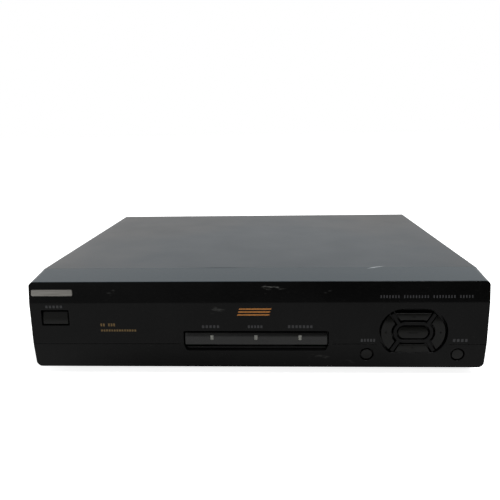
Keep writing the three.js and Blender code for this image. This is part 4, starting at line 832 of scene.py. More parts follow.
# %% [markdown]
# ## Buttons
# Every button is a cap with a rounded edge, a flange behind the fascia that stops it from falling out, and
# a stem that meets its switch. So one function draws them all from their outline. The four direction
# buttons fill the ring around the rim: left and right are bounded by two arcs, up and down end in a
# straight edge, and all are cut along the spokes.

# %% Cap, flange and stem
stem_end, stem_radius, flange_reach, flange_thick = 12.2, 2.0, 2.0, 1.2


def button(name, outline, face, flange_at, centre, edge_radius, slant):
    """
    A button that rides on its own body. Its face is drawn as rings that shrink to the centre and follow the
    slant; the wall, the flange behind the fascia and the stem go back from there.
    """
    flange_end = flange_at + flange_thick
    flange = [(0, flange_at), (-flange_reach, flange_at), (-flange_reach, flange_end), (0.3, flange_end)]
    points, faces = pressed(outline, [*rounded_edge(face, edge_radius), *flange], slant)
    open_wall = points, [f for f in faces if len(f) == 4 or f[0] != 0]
    first = points[: len(outline)]
    shares = np.array([0.9, 0.78, 0.66, 0.54, 0.42, 0.3, 0.18, 0.06])[:, None, None]
    flat = centre + (first[:, ::2] - centre) * shares
    depth = face + slant(flat[:, :, 0], flat[:, :, 1])
    rings = np.stack([flat[:, :, 0], depth, flat[:, :, 1]], axis=-1)
    dome, dome_faces = joined(np.concatenate([rings[::-1], first[None]]), ends=False)
    dome_faces.append(list(range(len(outline))))
    stem_layers = [(0, flange_at + 0.6), (0, stem_end - 0.3), (0.3, stem_end)]
    stem = pressed(loop(arc(centre, stem_radius, 0, 345, 24), 24), stem_layers)
    parts = together((dome, dome_faces), open_wall, stem)
    make_piece(f"{name}_cap", parts, key_abs, f"{name}_key", [f"{name}_button"], "key_plastic")


def tipped(start, height, drop):
    """Depth of a face that turns up above a line: drop (max(z - start, 0) / height)^2."""
    return lambda x, z: drop * (np.clip(z - start, 0, None) / height) ** 2


def round_face(x, z):
    """Depth of a round button: bow ((z - centre) / radius)^2, on top of the leaning low face."""
    return 0.3 * ((z - round_z) / round_radius) ** 2 + low_lean * (1 - np.clip(z, 0, low_top) / low_top)


# %% Power button and the two round ones
power_outline = pane((power_at[0], power_at[1] - 0.2), 20.2, 10.2, 140, 1.1)
button("power", power_outline, 0.2, 4.4, power_at, 0.5, tipped(power_at[1] - 5.3, 10.6, 1.9))
for name, x in zip(("round_left", "round_right"), round_xs):
    button(name, circle((x, round_z), round_radius, 72), 0.1, 6.0, (x, round_z), 0.5, round_face)
print("power button and", len(round_xs), "round buttons")

# %% Direction buttons: each face turns up towards its upper edge, where it catches the light
key_inner, key_outer, key_flat, parting, key_middle = 10.2, 18.0, 15.7, 2.35, 14.6
spoke = math.radians(spoke_angle)


def spoke_edge(distance, side):
    """Angle of a spoke's edge in degrees, seen from the oval's end: spoke + side asin(parting / distance)."""
    return math.degrees(spoke + side * math.asin(parting / distance))


right_end, left_end = (half_straight, 0), (-half_straight, 0)
inner, outer, start = spoke_edge(key_inner, -1), spoke_edge(key_outer, -1), spoke_edge(key_inner, 1)
right_key = np.vstack([
    arc(right_end, key_outer, -outer, outer, 60), arc(right_end, key_inner, inner, -inner, 60)
])
reach = (key_flat - parting * math.cos(spoke)) / math.sin(spoke)
corner_x = half_straight + reach * math.cos(spoke) - parting * math.sin(spoke)
up_key = np.vstack([
    arc(right_end, key_inner, start, 90, 20)[::-1],
    [(corner_x, key_flat), (-corner_x, key_flat)],
    arc(left_end, key_inner, 90, 180 - start, 20)[::-1],
])
down_key = np.where(up_key > key_flat - 0.1, up_key + [0, 0.6], up_key) * [1, -1]
side_at = half_straight + key_middle
keys = {  # outline, centre, and where and how the face turns up, all from the middle of the cluster
    "up": (up_key, (0, key_middle), (11.0, 4.7, 0.5)),
    "down": (down_key, (0, -key_middle), (-14.0, 4.0, 0.5)),
    "right": (right_key, (side_at, 0), (4.5, 8.5, 1.0)),
    "left": (right_key * [-1, 1], (-side_at, 0), (4.5, 8.5, 1.2)),
    "select": (oval((0, 0), half_straight, 4.8, 40), (0, 0), (-3.5, 8.3, 1.15)),
}
key_face, key_bows = 0.7, {}
for name, (points, centre, (start, height, drop)) in keys.items():
    key_bows[name] = tipped(cluster_at[1] + start, height, drop)
    button(name, loop(points + cluster_at, 240, 1.0), key_face, 6.4, centre + cluster_at, 0.3, key_bows[name])
print("direction buttons:", {name: len(points) for name, (points, *_) in keys.items()})

# %% [markdown]
# ## Indicator bar
# The bar is a long acrylic block behind the fascia, with three holes for the windows. It is drawn as a flat
# grid with holes, and the same rings turn over its outer edge and go back as its sides. Its face bows back,
# more above the middle than below it. Behind the bar stand a thin baffle, which keeps the board out of
# sight, and the light guide.

# %% Bar
bar_edge, bar_depth, bar_low, bar_top = 0.4, 0.8, lens_low - 0.85, lens_top - 0.55
window_z, window_xs = 25.85, (-34.9, 0.0, 34.9)
bar_across = lines(
    (-lens_half + bar_edge, 6), (-38.5, 6), (-31.3, 14), (-3.6, 6), (3.6, 14), (31.3, 6), (38.5, 6),
    (lens_half - bar_edge, 0),
)
bar_up = lines((bar_low + bar_edge, 2), (22.2, 8), (29.4, 1), (bar_top - bar_edge, 0))
windows = [
    (x - 3.6, x + 3.6, 22.2, 29.4, pane((x, window_z), 2.6, 3.8, 80, 0.4), mouth_edge(0.15, 1.2))
    for x in window_xs
]
outer = np.array(
    [(x, bar_up[0]) for x in bar_across[:-1]] + [(bar_across[-1], z) for z in bar_up[:-1]]
    + [(x, bar_up[-1]) for x in bar_across[:0:-1]] + [(bar_across[0], z) for z in bar_up[:0:-1]]
)
quarter = np.linspace(0, np.pi / 2, 5)
sides = [(-bar_edge * math.sin(a), bar_edge * (1 - math.cos(a))) for a in quarter] + [(-bar_edge, 3.2)]
bar_face, bar_side = pierced(bar_across, bar_up, windows, rings=2), joined(edge_rings(outer, sides), ends=False)
bar_points, bar_faces = together(bar_face, bar_side)
above = (bar_points[:, 1] - (bar_low + bar_top) / 2) / (bar_top - bar_low) * 2
bow = np.where(above > 0, 1.0, 0.25) * above**2
bar = make_piece(
    "indicator_bar", (standing(bar_points, bar_points[:, 2] + bar_depth + bow), bar_faces), smoked_acrylic,
    replaces=["indicator_lens"], slot="smoked_plastic", facing=(0, -1, 0),
)
thicken(bar, 1.0)
print("bar faces:", len(bar.data.polygons))

# %% Baffle: two flat angles behind the bar that keep the board out of sight and leave the receiver's view free
baffle_corners = [
    [(-58.5, 33.0), (12.0, 33.0), (12.0, 28.9), (-54.0, 28.9), (-54.0, 23.2), (-58.5, 23.2)],
    [(58.5, 33.0), (58.5, 23.2), (54.0, 23.2), (54.0, 28.9), (23.0, 28.9), (23.0, 33.0)],
]
angles = [pressed(loop(corners, 200, 0.2), [(0.1, 6.2), (0, 6.3), (0, 7.0)]) for corners in baffle_corners]
make_piece("bar_baffle", together(*angles), fascia_abs)
print("angles of the baffle:", len(angles))

# %% Light guide: three frosted prongs on one rail
prong_layers = [(0.3, 0.85), (0.1, 0.88), (0, 1.0), (0, 9.0)]
prongs = [pressed(pane((x, window_z), 2.5, 3.7, 60, 0.3), prong_layers) for x in window_xs]
rail = pressed(pane((0, 26.4), 75.0, 4.4, 120, 0.8), [(0.2, 8.6), (0, 8.8), (0, 10.8), (0.2, 11.0)])
guide = together(*prongs, rail)
make_piece("light_guide_prongs", guide, frosted_guide, replaces=["light_guide"], slot="clear_plastic")
print("prongs:", len(prongs))

# %% [markdown]
# ## Nameplate and printed marks
# The plate at the upper left is a blank strip of dull aluminium that lies on the leaning band. The other
# marks are screen printed: a film of ink a few hundredths of a millimetre thick. They are plain dashes in
# tan and grey, orange stripes, and small arrows and ticks on the buttons.

# %% Plates and prints on the front


def laid(outline, thick, edge_radius, lift=0.02):
    """A thin plate on the fascia: each point stands off the face at its own height."""
    points, faces = pressed(outline, [*rounded_edge(0, edge_radius, steps=2), (0, thick)])
    points[:, 1] += np.interp(points[:, 2], fine_at, fine_y) - thick + lift
    return points, faces


def ink(name, dark, light):
    """Printed ink: an even matt film, a little thin in places."""
    return tinted_plastic(name, dark, light, 0.5, 1.5, 1.5, 0.1)


def dashes(left, right, z, height, groups, fill=0.62):
    """A row of upright dashes between two places: groups holds how many stand together before a wider gap."""
    pitch = (right - left) / (sum(groups) + 1.0 * (len(groups) - 1))
    starts = np.cumsum([0, *[count + 1.0 for count in groups[:-1]]])
    places = np.concatenate([start + np.arange(count) for start, count in zip(starts, groups)])
    return [laid(pane((left + (at + 0.5) * pitch, z), fill * pitch, height, 24), 0.03, 0.01) for at in places]


def slanted(left, right, z, height, lean_by):
    """A parallelogram whose top is shifted to the right."""
    w, h = lean_by / 2, height / 2
    corners = [(left - w, z - h), (right - w, z - h), (right + w, z + h), (left + w, z + h)]
    return laid(loop(corners, 60, 0.3), 0.03, 0.01)


tan_ink = ink("screen ink, tan", "#4a3c25", "#5c4a2e")
orange_ink = ink("screen ink, orange", "#84562a", "#9c6631")
grey_ink = ink("screen ink, grey", "#272728", "#303031")
plate = laid(pane((-161.0, 63.4), 33.0, 5.0, 120, 2.2), 0.55, 0.2)
make_piece("plain_nameplate", plate, dull_aluminium, replaces=["blank_badge"], slot="badge_metal")
print("inks:", tan_ink.name, "|", orange_ink.name, "|", grey_ink.name)

# %% Rows of dashes and the stripes
grey_rows = [
    *dashes(-167.4, -152.8, 52.1, 2.2, [5]),
    *dashes(-43.0, -28.2, 35.5, 2.3, [5]),
    *dashes(-6.6, 5.8, 35.5, 2.3, [5]),
    *dashes(24.9, 45.1, 35.5, 2.3, [7]),
    *dashes(82.0, 94.0, 24.2, 2.4, [5]),
    *dashes(153.0, 165.4, 24.2, 2.4, [4]),
    *dashes(96.0, 167.5, 59.8, 2.2, [7, 9, 8, 5], 0.42),
]
make_piece("grey_dashes", together(*grey_rows), grey_ink)
tan_rows = [*dashes(-124.0, -111.6, 37.0, 2.4, [2, 3]), *dashes(-123.8, -94.9, 32.3, 1.7, [14], 0.7)]
make_piece("tan_dashes", together(*tan_rows), tan_ink)
stripes = [slanted(-12.8 - 0.8 * k, 12.4 - 0.8 * k, 50.1 - 2.4 * k, 1.0, 0.5) for k in range(3)]
make_piece("orange_stripes", together(*stripes), orange_ink)
print("dashes:", len(grey_rows), "grey,", len(tan_rows), "tan; stripes:", len(stripes))

# %% Arrows and ticks on the buttons of the cluster
dim_ink = tinted_plastic("screen ink, matt black", "#060606", "#0a0a0a", 0.6, 1.5, 1.5, 0.03)


def on_key(outline, name):
    """A film of ink on a key of the cluster."""
    layers = [(0.02, key_face - 0.03, 1), (0, key_face - 0.02, 1), (0, key_face + 0.05, 1)]
    return pressed(outline, layers, key_bows[name])


triangle = np.array([(-1.1, -0.7), (1.1, -0.7), (0.0, 0.9)])
arrow_at = {"up": (0, 13.1), "left": (-21.3, 0), "down": (0, -13.1), "right": (21.3, 0)}
for quarter_turns, (name, at) in enumerate(arrow_at.items()):
    c, s = math.cos(quarter_turns * math.pi / 2), math.sin(quarter_turns * math.pi / 2)
    arrow = triangle @ np.array([[c, s], [-s, c]]) + at + cluster_at
    make_piece(f"{name}_arrow", on_key(loop(arrow, 36, 0.2), name), dim_ink, f"{name}_key")
ticks = [pane((cluster_at[0] + x, cluster_at[1] - 0.3), 1.6, 0.8, 24) for x in (-2.6, 0.0, 2.6)]
make_piece("select_ticks", together(*[on_key(tick, "select") for tick in ticks]), dim_ink, "select_key")
print("arrows:", len(arrow_at), "ticks:", len(ticks))

# %% [markdown]
# ## Cover
# The cover is one sheet of 0.8 mm steel, bent down at both sides and folded down once more at the back.
# A bent sheet keeps its length, so it is drawn as the flat blank it was cut from: a grid with the slots
# punched in it, which one function then bends into shape. Solidify gives the sheet its thickness.

# %% Blank of the cover
sheet, bend, fold = 0.8, 2.5, 1.5
cover_half, cover_low, cover_top = 179.3, 1.0, 75.5
cover_front, cover_back = 30.08, 293.0
top_half, bend_length, fold_start = cover_half - bend, bend * math.pi / 2, cover_back - fold
fold_length, tongue = fold * math.pi / 2, 9.0


def on_cover(depth, wide):
    """
    Bends the blank. Wide runs from the middle over the bend and down a side: x = half + bend sin(angle) and
    z = top - bend (1 - cos(angle)). Depth runs back and over the fold in the same way.
    """
    beyond = np.abs(wide) - top_half
    angle = np.clip(beyond / bend, 0, np.pi / 2)
    x = np.minimum(np.abs(wide), top_half) + bend * np.sin(angle)
    z = cover_top - bend * (1 - np.cos(angle)) - np.maximum(beyond - bend_length, 0)
    turned_by = np.clip((depth - fold_start) / fold, 0, np.pi / 2)
    folded_y = np.minimum(depth, fold_start) + fold * np.sin(turned_by)
    drop = fold * (1 - np.cos(turned_by)) + np.maximum(depth - fold_start - fold_length, 0)
    flat = beyond <= 0
    y = np.where(flat, folded_y, np.minimum(depth, cover_back))
    return np.column_stack([np.sign(wide) * x, y, np.where(flat, z - drop, z)])


def blank_place(z):
    """Place on the blank of a height on the side."""
    return top_half + bend_length + cover_top - bend - z


blank_size = 2 * blank_place(cover_low), fold_start + fold_length + tongue - cover_front
print("flat blank of the cover:", np.round(blank_size, 1).tolist(), "mm")


# %% Slots and grid of the cover
slot_pitch, slot_low, slot_high, slot_width, cell, margin = 7.0, 27.0, 51.0, 2.6, 2.8, 1.8
slot_ys = 195.0 + slot_pitch * (np.arange(16) - 7.5)
depth_lines = np.concatenate([
    np.linspace(cover_front, slot_ys[0] - cell, 18, endpoint=False),
    *[np.linspace(y - cell, y + cell, 5) for y in slot_ys],
    np.linspace(slot_ys[-1] + 6, fold_start - 3, 6),
    fold_start + np.array([0, 0.5, 1.0, 1.5, 1.93, fold_length, 6.0]),
    [fold_start + fold_length + tongue],
])
side_lines = np.concatenate([
    top_half + bend * np.linspace(0, np.pi / 2, 7)[1:],
    np.linspace(blank_place(68), blank_place(slot_high + margin), 3, endpoint=False),
    np.linspace(blank_place(slot_high + margin), blank_place(slot_low - margin), 9),
    np.linspace(blank_place(22), blank_place(cover_low), 5),
])
wide_lines = np.concatenate([-side_lines[::-1], np.linspace(-top_half, top_half, 49), side_lines])
slots = []
for side in (-1, 1):
    low, high = sorted([side * blank_place(slot_high), side * blank_place(slot_low)])
    for y in slot_ys:
        upright = oval((0, 0), (high - low - slot_width) / 2, slot_width / 2, 20)[:, ::-1]
        outline = loop(upright + [y, (low + high) / 2], 160)
        slots.append((y - cell, y + cell, low - margin, high + margin, outline, [(0, 0)]))
blank, cover_faces = pierced(depth_lines, wide_lines, slots, rings=2)
middles = [blank[face].mean(axis=0) for face in cover_faces]
cover_faces = [f for f, c in zip(cover_faces, middles) if c[0] < cover_back or abs(c[1]) < top_half]
cover = make_piece(
    "cover_sheet", (on_cover(blank[:, 0], blank[:, 1]), cover_faces), case_paint,
    replaces=["top_cover"], slot="painted_steel", facing=(0, 0, 1),
)
thicken(cover, sheet)
print("cover faces:", len(cover.data.polygons), "slots:", len(slots))

# %% [markdown]
# ## Turned and pressed parts of the back
# Sockets, screws and feet come off a lathe or out of a round mould, so a profile turned about an axis gives
# them. They are drawn about their own axis first, as (across, outwards, up), and then aimed: to the back, to
# a side or down. A thread is a turned surface whose radius follows a helix: it depends on the height less
# the share of a turn already made.

# %% Turning, aiming and threads


def ring(radius, out, count, start=0.0):
    """Points (radius cos(angle), out, radius sin(angle)); radius and out may differ from point to point."""
    angle = np.linspace(0, 2 * np.pi, count, endpoint=False) + start
    return np.column_stack([radius * np.cos(angle), np.broadcast_to(out, count), radius * np.sin(angle)])


def turned(profile, count=48, around=False):
    """Rings of a profile of (radius, outwards) turned about the outward axis."""
    return joined([ring(radius, out, count) for radius, out in profile], around=around)


def aim(shape, at, axis="back"):
    """Moves a shape drawn as (across, outwards, up) to its place, outwards turned to the back, a side or down."""
    across, out, rise = shape[0].T
    columns = {
        "back": (at[0] + across, at[1] + out, at[2] + rise),
        "left": (at[0] - out, at[1] + across, at[2] + rise),
        "right": (at[0] + out, at[1] + across, at[2] + rise),
        "down": (at[0] + across, at[1] + rise, at[2] - out),
    }
    return np.column_stack(columns[axis]), shape[1]


def fit(name, shapes, at, material, axis="back", **settings):
    """Several shapes about one axis, aimed and made into one piece."""
    make_piece(name, together(*[aim(shape, at, axis) for shape in shapes]), material, **settings)


def thread(radius, start, end, pitch, depth, count=40):
    """radius - depth (1 - cos(turn)) / 2, turn = 2 pi height / pitch - angle; both ends run out."""
    angle = np.linspace(0, 2 * np.pi, count, endpoint=False)
    height = np.arange(start, end, pitch / 6)
    turn_at = 2 * np.pi * height[:, None] / pitch - angle[None, :]
    fade = np.clip(np.minimum(height - start, end - pitch / 2 - height) / pitch, 0, 1)[:, None]
    radii = radius - depth * fade * (1 - np.cos(turn_at)) / 2
    return [ring(radius_at, h, count) for radius_at, h in zip(radii, height)]


def hexagon(corner_radius, start):
    """The corners of a hexagon about the axis."""
    return arc((0, 0), corner_radius, start, start + 300, 6)


def framed(outer, inner, layers, floor):
    """A frame between two outlines: the outer one carried out by layers, then the inner one in to a floor."""
    aligned = np.roll(inner, -int(np.argmin(np.hypot(*(inner - outer[0] * 0.6).T))), axis=0)
    rings = [standing(inset(outer, sideways), depth) for sideways, depth in layers]
    return joined([*rings, standing(aligned, layers[-1][1]), standing(aligned, floor)])


panel_y, axis_z = 291.9, 21.7
threaded = {"satellite_input": 147.0, "aerial_input": 82.5, "television_output": 105.5}
phono = {"audio_right_jack": 13.5, "audio_left_jack": 28.0, "video_jack": 42.5}
video_x, port_x, gland_x, phone_x, phone_z = 60.0, -32.0, -146.0, -4.0, 19.0
print("rear panel at y", panel_y, "socket axes at z", axis_z)

# %% Screws: a domed head whose rings change from a circle into a cross


def screw(radius=3.5, height=1.8, arm=1.9, half=0.45, depth=1.0, count=96, start=0.01):
    """Head rings r(angle) = (1 - t) circle + t cross; out = height (1 - 0.6 (r / radius)^2)."""
    c, s = np.abs(ring(1.0, 0.0, count, start)[:, ::2].T)
    cross = np.maximum(np.minimum(arm / c, half / s), np.minimum(half / c, arm / s))
    rows = [(1.3, -5.0), (1.5, -4.6), (1.5, 0.0), (radius, 0.0)]
    for t in np.linspace(0, 1, 9):
        r = (1 - t) * radius + t * cross
        rows.append((r, height * (1 - 0.6 * (r / radius) ** 2)))
    rows.append((cross * 0.85, height - depth))
    return joined([ring(r, out, count, start) for r, out in rows])


for side, way in (("left", -1), ("right", 1)):
    for name, at, axis in (
        (f"screw_{side}_front", (way * 179.6, 64.3, 7.3), side),
        (f"screw_{side}_rear", (way * 179.6, 261.0, 7.3), side),
        (f"screw_back_{side}", (way * 122.0, 293.3, 69.9), "back"),
    ):
        fit(f"{name}_head", [screw()], at, oxide_screw, axis, replaces=[name], slot="black_screw")

# %% Feet
foot_profile = [
    (2.0, -3.0), (2.4, -2.7), (2.4, -0.4), (10.6, -0.4), (11.0, 0.0), (10.9, 0.6), (9.75, 6.4), (9.5, 7.1),
    (8.9, 7.5), (4.9, 7.5), (4.4, 7.3), (4.2, 6.8), (4.1, 4.3), (3.8, 4.1), (0.6, 4.1),
]
for row, y in (("front", 52.0), ("rear", 255.0)):
    for side, x in (("left", -144.0), ("right", 144.0)):
        name = f"foot_{row}_{side}"
        foot = [turned(foot_profile)]
        fit(f"{name}_moulding", foot, (x, y, 0.0), rubber, "down", replaces=[name], slot="rubber")
print("screws: 6, feet: 4")

# %% Threaded coaxial sockets
nut = pressed(loop(hexagon(6.35, 30), 72, 0.5), [(0.6, 0.3), (0, 0.65), (0, 2.35), (0.6, 2.7)])
mouth_profile = [(4.7, 10.5), (4.35, 10.95), (3.75, 11.0), (3.6, 10.85), (3.6, 4.0)]
barrel = joined([
    ring(4.75, -0.7, 40), *thread(4.75, 0.2, 10.4, 0.79, 0.42), *[ring(r, out, 40) for r, out in mouth_profile]
])
washer = turned([(4.6, 0.05), (6.2, 0.05), (6.2, 0.3), (4.6, 0.3)], 40, around=True)
insert = turned([(3.6, 4.2), (3.6, 10.1), (3.4, 10.3), (1.2, 10.3), (0.85, 10.0), (0.85, 5.0)], 40)
for name, x in threaded.items():
    at = (x, panel_y, axis_z)
    fit(f"{name}_barrel", [barrel, nut, washer], at, nickel_plate, replaces=[name], slot="nickel")
    fit(f"{name}_insert", [insert], at, white_resin)
print("sockets with thread:", len(threaded))

# %% Phono jacks with coloured collars
shell = turned([(4.15, -6.5), (4.15, 8.1), (3.95, 8.45), (3.6, 8.5), (3.35, 8.25), (3.3, 7.4), (3.3, 1.0)])
sleeve = turned([(1.9, 1.0), (1.9, 7.5), (1.6, 7.5), (1.6, 1.0)], 32)
collar = turned([(4.3, 0.05), (5.3, 0.05), (5.3, 0.8), (5.0, 1.1), (4.3, 1.1)], around=True)
core = turned([(3.3, 1.2), (3.3, 7.1), (3.1, 7.3), (2.1, 7.3), (1.9, 7.1), (1.9, 1.2)])
for (name, x), resin in zip(phono.items(), (red_resin, white_resin, yellow_resin)):
    at = (x, panel_y, axis_z)
    fit(f"{name}_shell", [shell, sleeve], at, nickel_plate, replaces=[name], slot="nickel")
    fit(f"{name}_collar", [collar, core], at, resin)
print("phono jacks:", len(phono))

# %% Round video socket: groove, key and four wells
face = turned([
    (6.1, -0.8), (6.2, 0.9), (5.9, 1.2), (4.9, 1.2), (4.7, 1.0), (4.7, -1.8), (3.8, -1.8), (3.8, 1.0),
    (3.65, 1.2), (0.4, 1.2),
])
block = pressed(pane((0, 0), 14.0, 14.0, 80, 1.0), [(0.2, -14.0), (0, -13.6), (0, -1.3), (0.2, -1.1)])
fit(
    "video_socket_face", [face, block], (video_x, panel_y, axis_z), component_resin,
    replaces=["s_video_socket"], slot="component_black",
)
well_at = ((-1.7, 1.2), (1.7, 1.2), (-1.1, -1.4), (1.1, -1.4))
well = turned([(0.62, 1.19), (0.62, 1.28), (0.4, 1.28), (0.4, 0.9)], 20)
wells = [aim(well, (video_x + dx, panel_y, axis_z + dz)) for dx, dz in well_at]
make_piece("video_socket_wells", together(*wells), nickel_plate)

# %% Telephone socket: a mouth with a stepped latch notch, and its contact wires
mouth = [
    (-5, -3.5), (5, -3.5), (5, 3.0), (3.1, 3.0), (3.1, 4.1), (1.6, 4.1), (1.6, 5.2), (-1.6, 5.2), (-1.6, 4.1),
    (-3.1, 4.1), (-3.1, 3.0), (-5, 3.0),
]
frame_layers = [(0, -14.0), (0, 0.5), (0.15, 0.72), (0.3, 0.8)]
socket = framed(pane((0, 0), 13.0, 14.0, 200, 0.6), loop(mouth, 200), frame_layers, -10.0)
fit(
    "telephone_face", [socket], (phone_x, panel_y, phone_z), component_resin,
    replaces=["telephone_socket"], slot="component_black",
)
wire = pressed(pane((0, 0), 0.45, 0.35, 16), [(0, -9.8), (0, -1.6)])
wires = [aim(wire, (phone_x + (k - 2.5) * 1.1, panel_y, phone_z - 2.9)) for k in range(6)]
for points, _ in wires:
    points[:, 2] += (panel_y - 1.6 - points[:, 1]) * 0.35
make_piece("telephone_contacts", together(*wires), gold_plate)

# %% Data port: a D-shaped shell with nine pins, and two hexagonal posts
dee = np.array([(-8.1, 4.2), (-7.2, -4.2), (7.2, -4.2), (8.1, 4.2)])
shell_layers = [(0, -1.0), (-0.5, 0.0), (0, 0.4), (0, 5.7), (0.2, 6.0)]
shell = framed(loop(dee, 160, 3.0), loop(dee * [0.93, 0.87], 160, 2.6), shell_layers, 0.6)
post = together(
    pressed(loop(hexagon(2.75, 0), 48, 0.3), [(0.2, 0.1), (0, 0.3), (0, 4.1), (0.3, 4.4)]),
    turned([(1.55, 4.35), (1.55, 4.42), (1.3, 4.42), (1.2, 1.5)], 24),
)
flange = pressed(pane((0, 0), 31, 12.5, 120, 2.0), [(0.1, -2.3), (0, -2.2), (0, -1.2), (0.1, -1.1)])
at = (port_x, panel_y, axis_z)
posts = [aim(post, (port_x + dx, panel_y, axis_z)) for dx in (-12.5, 12.5)]
port = together(aim(shell, at), aim(flange, at), *posts)
make_piece("data_port_shell", port, tinned_sheet, replaces=["data_port"], slot="tin_plate")
pin = turned([(0.5, 0.6), (0.5, 4.6), (0.42, 4.9), (0.2, 5.05)], 12)
pins = [
    aim(pin, (port_x + (k - (count - 1) / 2) * 2.75, panel_y, axis_z + dz))
    for count, dz in ((5, 1.4), (4, -1.4)) for k in range(count)
]
make_piece("data_port_pins", together(*pins), gold_plate)
bed = pressed(loop(dee * [0.92, 0.86], 120, 2.4), [(0, 0.3), (0, 0.9), (0.1, 1.0)])
fit("data_port_bed", [bed], at, component_resin)
print("wells:", len(wells), "contacts:", len(wires), "pins:", len(pins))

# %% Gland: a round rubber bush with an open bore
gland_profile = [
    (3.9, 2.9), (4.3, 3.3), (7.6, 3.3), (8.2, 3.0), (8.4, 2.4), (8.4, 0.6), (8.1, 0.3), (6.2, 0.3),
    (6.2, -9.0), (5.8, -9.6), (4.3, -9.6), (3.9, -9.2),
]
gland = turned(gland_profile, 64, around=True)
fit("gland_bush", [gland], (gland_x, panel_y, axis_z), rubber, replaces=["mains_gland"], slot="rubber")
print("gland at x", gland_x)

# %% [markdown]
# ## Rear panel
# The panel is a flat punched sheet. Its holes follow the sockets, and above them there is a row of slots.
# Rules and dashes printed in pale ink mark the groups of sockets.

# %% Rear panel
half_panel, panel_low, panel_top = 178.2, 0.8, 74.4
row_low, row_high, vent_low, vent_high, vent_cell = 10.0, 33.4, 43.1, 60.1, 1.5
cuts = [
    *[(x, 8.0, circle((x, axis_z), 5.25, 96)) for x in sorted(threaded.values())],
    *[(x, 7.0, circle((x, axis_z), 5.9, 96)) for x in phono.values()],
    (video_x, 8.0, circle((video_x, axis_z), 6.7, 96)),
    (gland_x, 9.0, circle((gland_x, axis_z), 6.7, 96)),
    (phone_x, 8.5, pane((phone_x, phone_z), 14.0, 15.0, 120, 0.8)),
    (port_x, 17.0, pane((port_x, axis_z), 31.2, 9.4, 160, 2.0)),
]
panel_holes = [(x - w, x + w, row_low, row_high, outline, [(0, 0)]) for x, w, outline in cuts]
for x in -half_panel + 18.0 + 5.6 * (np.arange(13) + 0.5):
    vent = loop(oval((0, 0), 7.2, 1.3, 16)[:, ::-1] + [x, (vent_low + vent_high) / 2], 120)
    panel_holes.append((x - 2.3, x + 2.3, vent_low - vent_cell, vent_high + vent_cell, vent, [(0, 0)]))
borders = [hole[k] for hole in panel_holes for k in (0, 1)]
panel_x = np.unique(np.round(np.concatenate([np.linspace(-half_panel, half_panel, 60), borders]), 3))
roomy = np.append(np.diff(panel_x) >= 0.6, True)
panel_x = panel_x[roomy | (np.abs(np.subtract.outer(panel_x, borders)).min(axis=1) < 1e-3)]
panel_z = lines(
    (panel_low, 3), (row_low, 8), (row_high, 3), (vent_low - vent_cell, 6), (vent_high + vent_cell, 3),
    (panel_top, 0),
)
flat_panel, panel_faces = pierced(panel_x, panel_z, panel_holes, rings=2)
rear = make_piece(
    "rear_sheet", (standing(flat_panel, panel_y), panel_faces), case_paint,
    replaces=["rear_panel"], slot="painted_steel", facing=(0, 1, 0),
)
thicken(rear, sheet)


def on_panel(centre, width, height, count):
    """A rectangle of ink on the rear panel."""
    film = [(0.02, panel_y + 0.05), (0, panel_y + 0.04), (0, panel_y - 0.02)]
    return pressed(pane(centre, width, height, count), film)


prints = []
for left, right in ((72.0, 116.0), (138.0, 156.0), (5.5, 68.5), (-12.5, 3.0), (-50.0, -14.5)):
    middle = (left + right) / 2
    prints += [on_panel((middle, z), right - left, 0.35, 60) for z in (34.6, 8.6)]
    count = max(3, int((right - left) / 5.5))
    prints += [on_panel((middle + (k - (count - 1) / 2) * 2.2, 37.4), 1.3, 2.0, 20) for k in range(count)]
make_piece("rear_prints", together(*prints), ink("screen ink, pale grey", "#8a8b8b", "#969797"))
print("rear panel holes:", len(panel_holes), "prints:", len(prints))

# %% [markdown]
# ## Studio
# The receiver stands on white paper that runs on into a white background. The paper and the world look
# white to the camera and in reflections, but give the object only a plain amount of light, so that the
# shadow stays on the floor. The camera's side of the room is dimmer in reflections than the side
# behind the object: that is why the front looks black while the top, seen at a low angle, looks grey. In
# reflections the paper also carries painted shade: close in front of the middle, a little all along the
# right, and far out, where some light is left at the left.

# %% Floor
floor_mesh = bpy.data.meshes.new("floor")
floor_mesh.from_pydata([(-9, -9, 0), (9, -9, 0), (9, 9, 0), (-9, 9, 0)], [], [(0, 1, 2, 3)])
floor = bpy.data.objects.new("floor", floor_mesh)
scene_objects.link(floor)


def shows_background(tree):
    """1 for camera rays, and 1 for camera, glossy and transmission rays: all but those that light the object."""
    rays = add(tree, "LightPath").outputs
    pair = add(tree, "Math", [rays["Is Camera Ray"], rays["Is Glossy Ray"]], operation="MAXIMUM")
    return rays["Is Camera Ray"], add(tree, "Math", [pair, rays["Is Transmission Ray"]], operation="MAXIMUM")


paper, tree, place = start_material("white studio paper")
_, background_rays = shows_background(tree)
fibres = add(tree, "TexNoise", {"Vector": place, "Scale": per_metre(3), "Detail": 3.0})
matt = add(tree, "BsdfDiffuse", [ramp(tree, fibres, (0.3, "#e4e4e2"), (0.7, "#e9e9e7"))])
glow = add(tree, "Emission", [(1, 1, 1, 1), 0.85])
white_paper = add(tree, "MixShader", [background_rays, matt, add(tree, "AddShader", [matt, glow])])
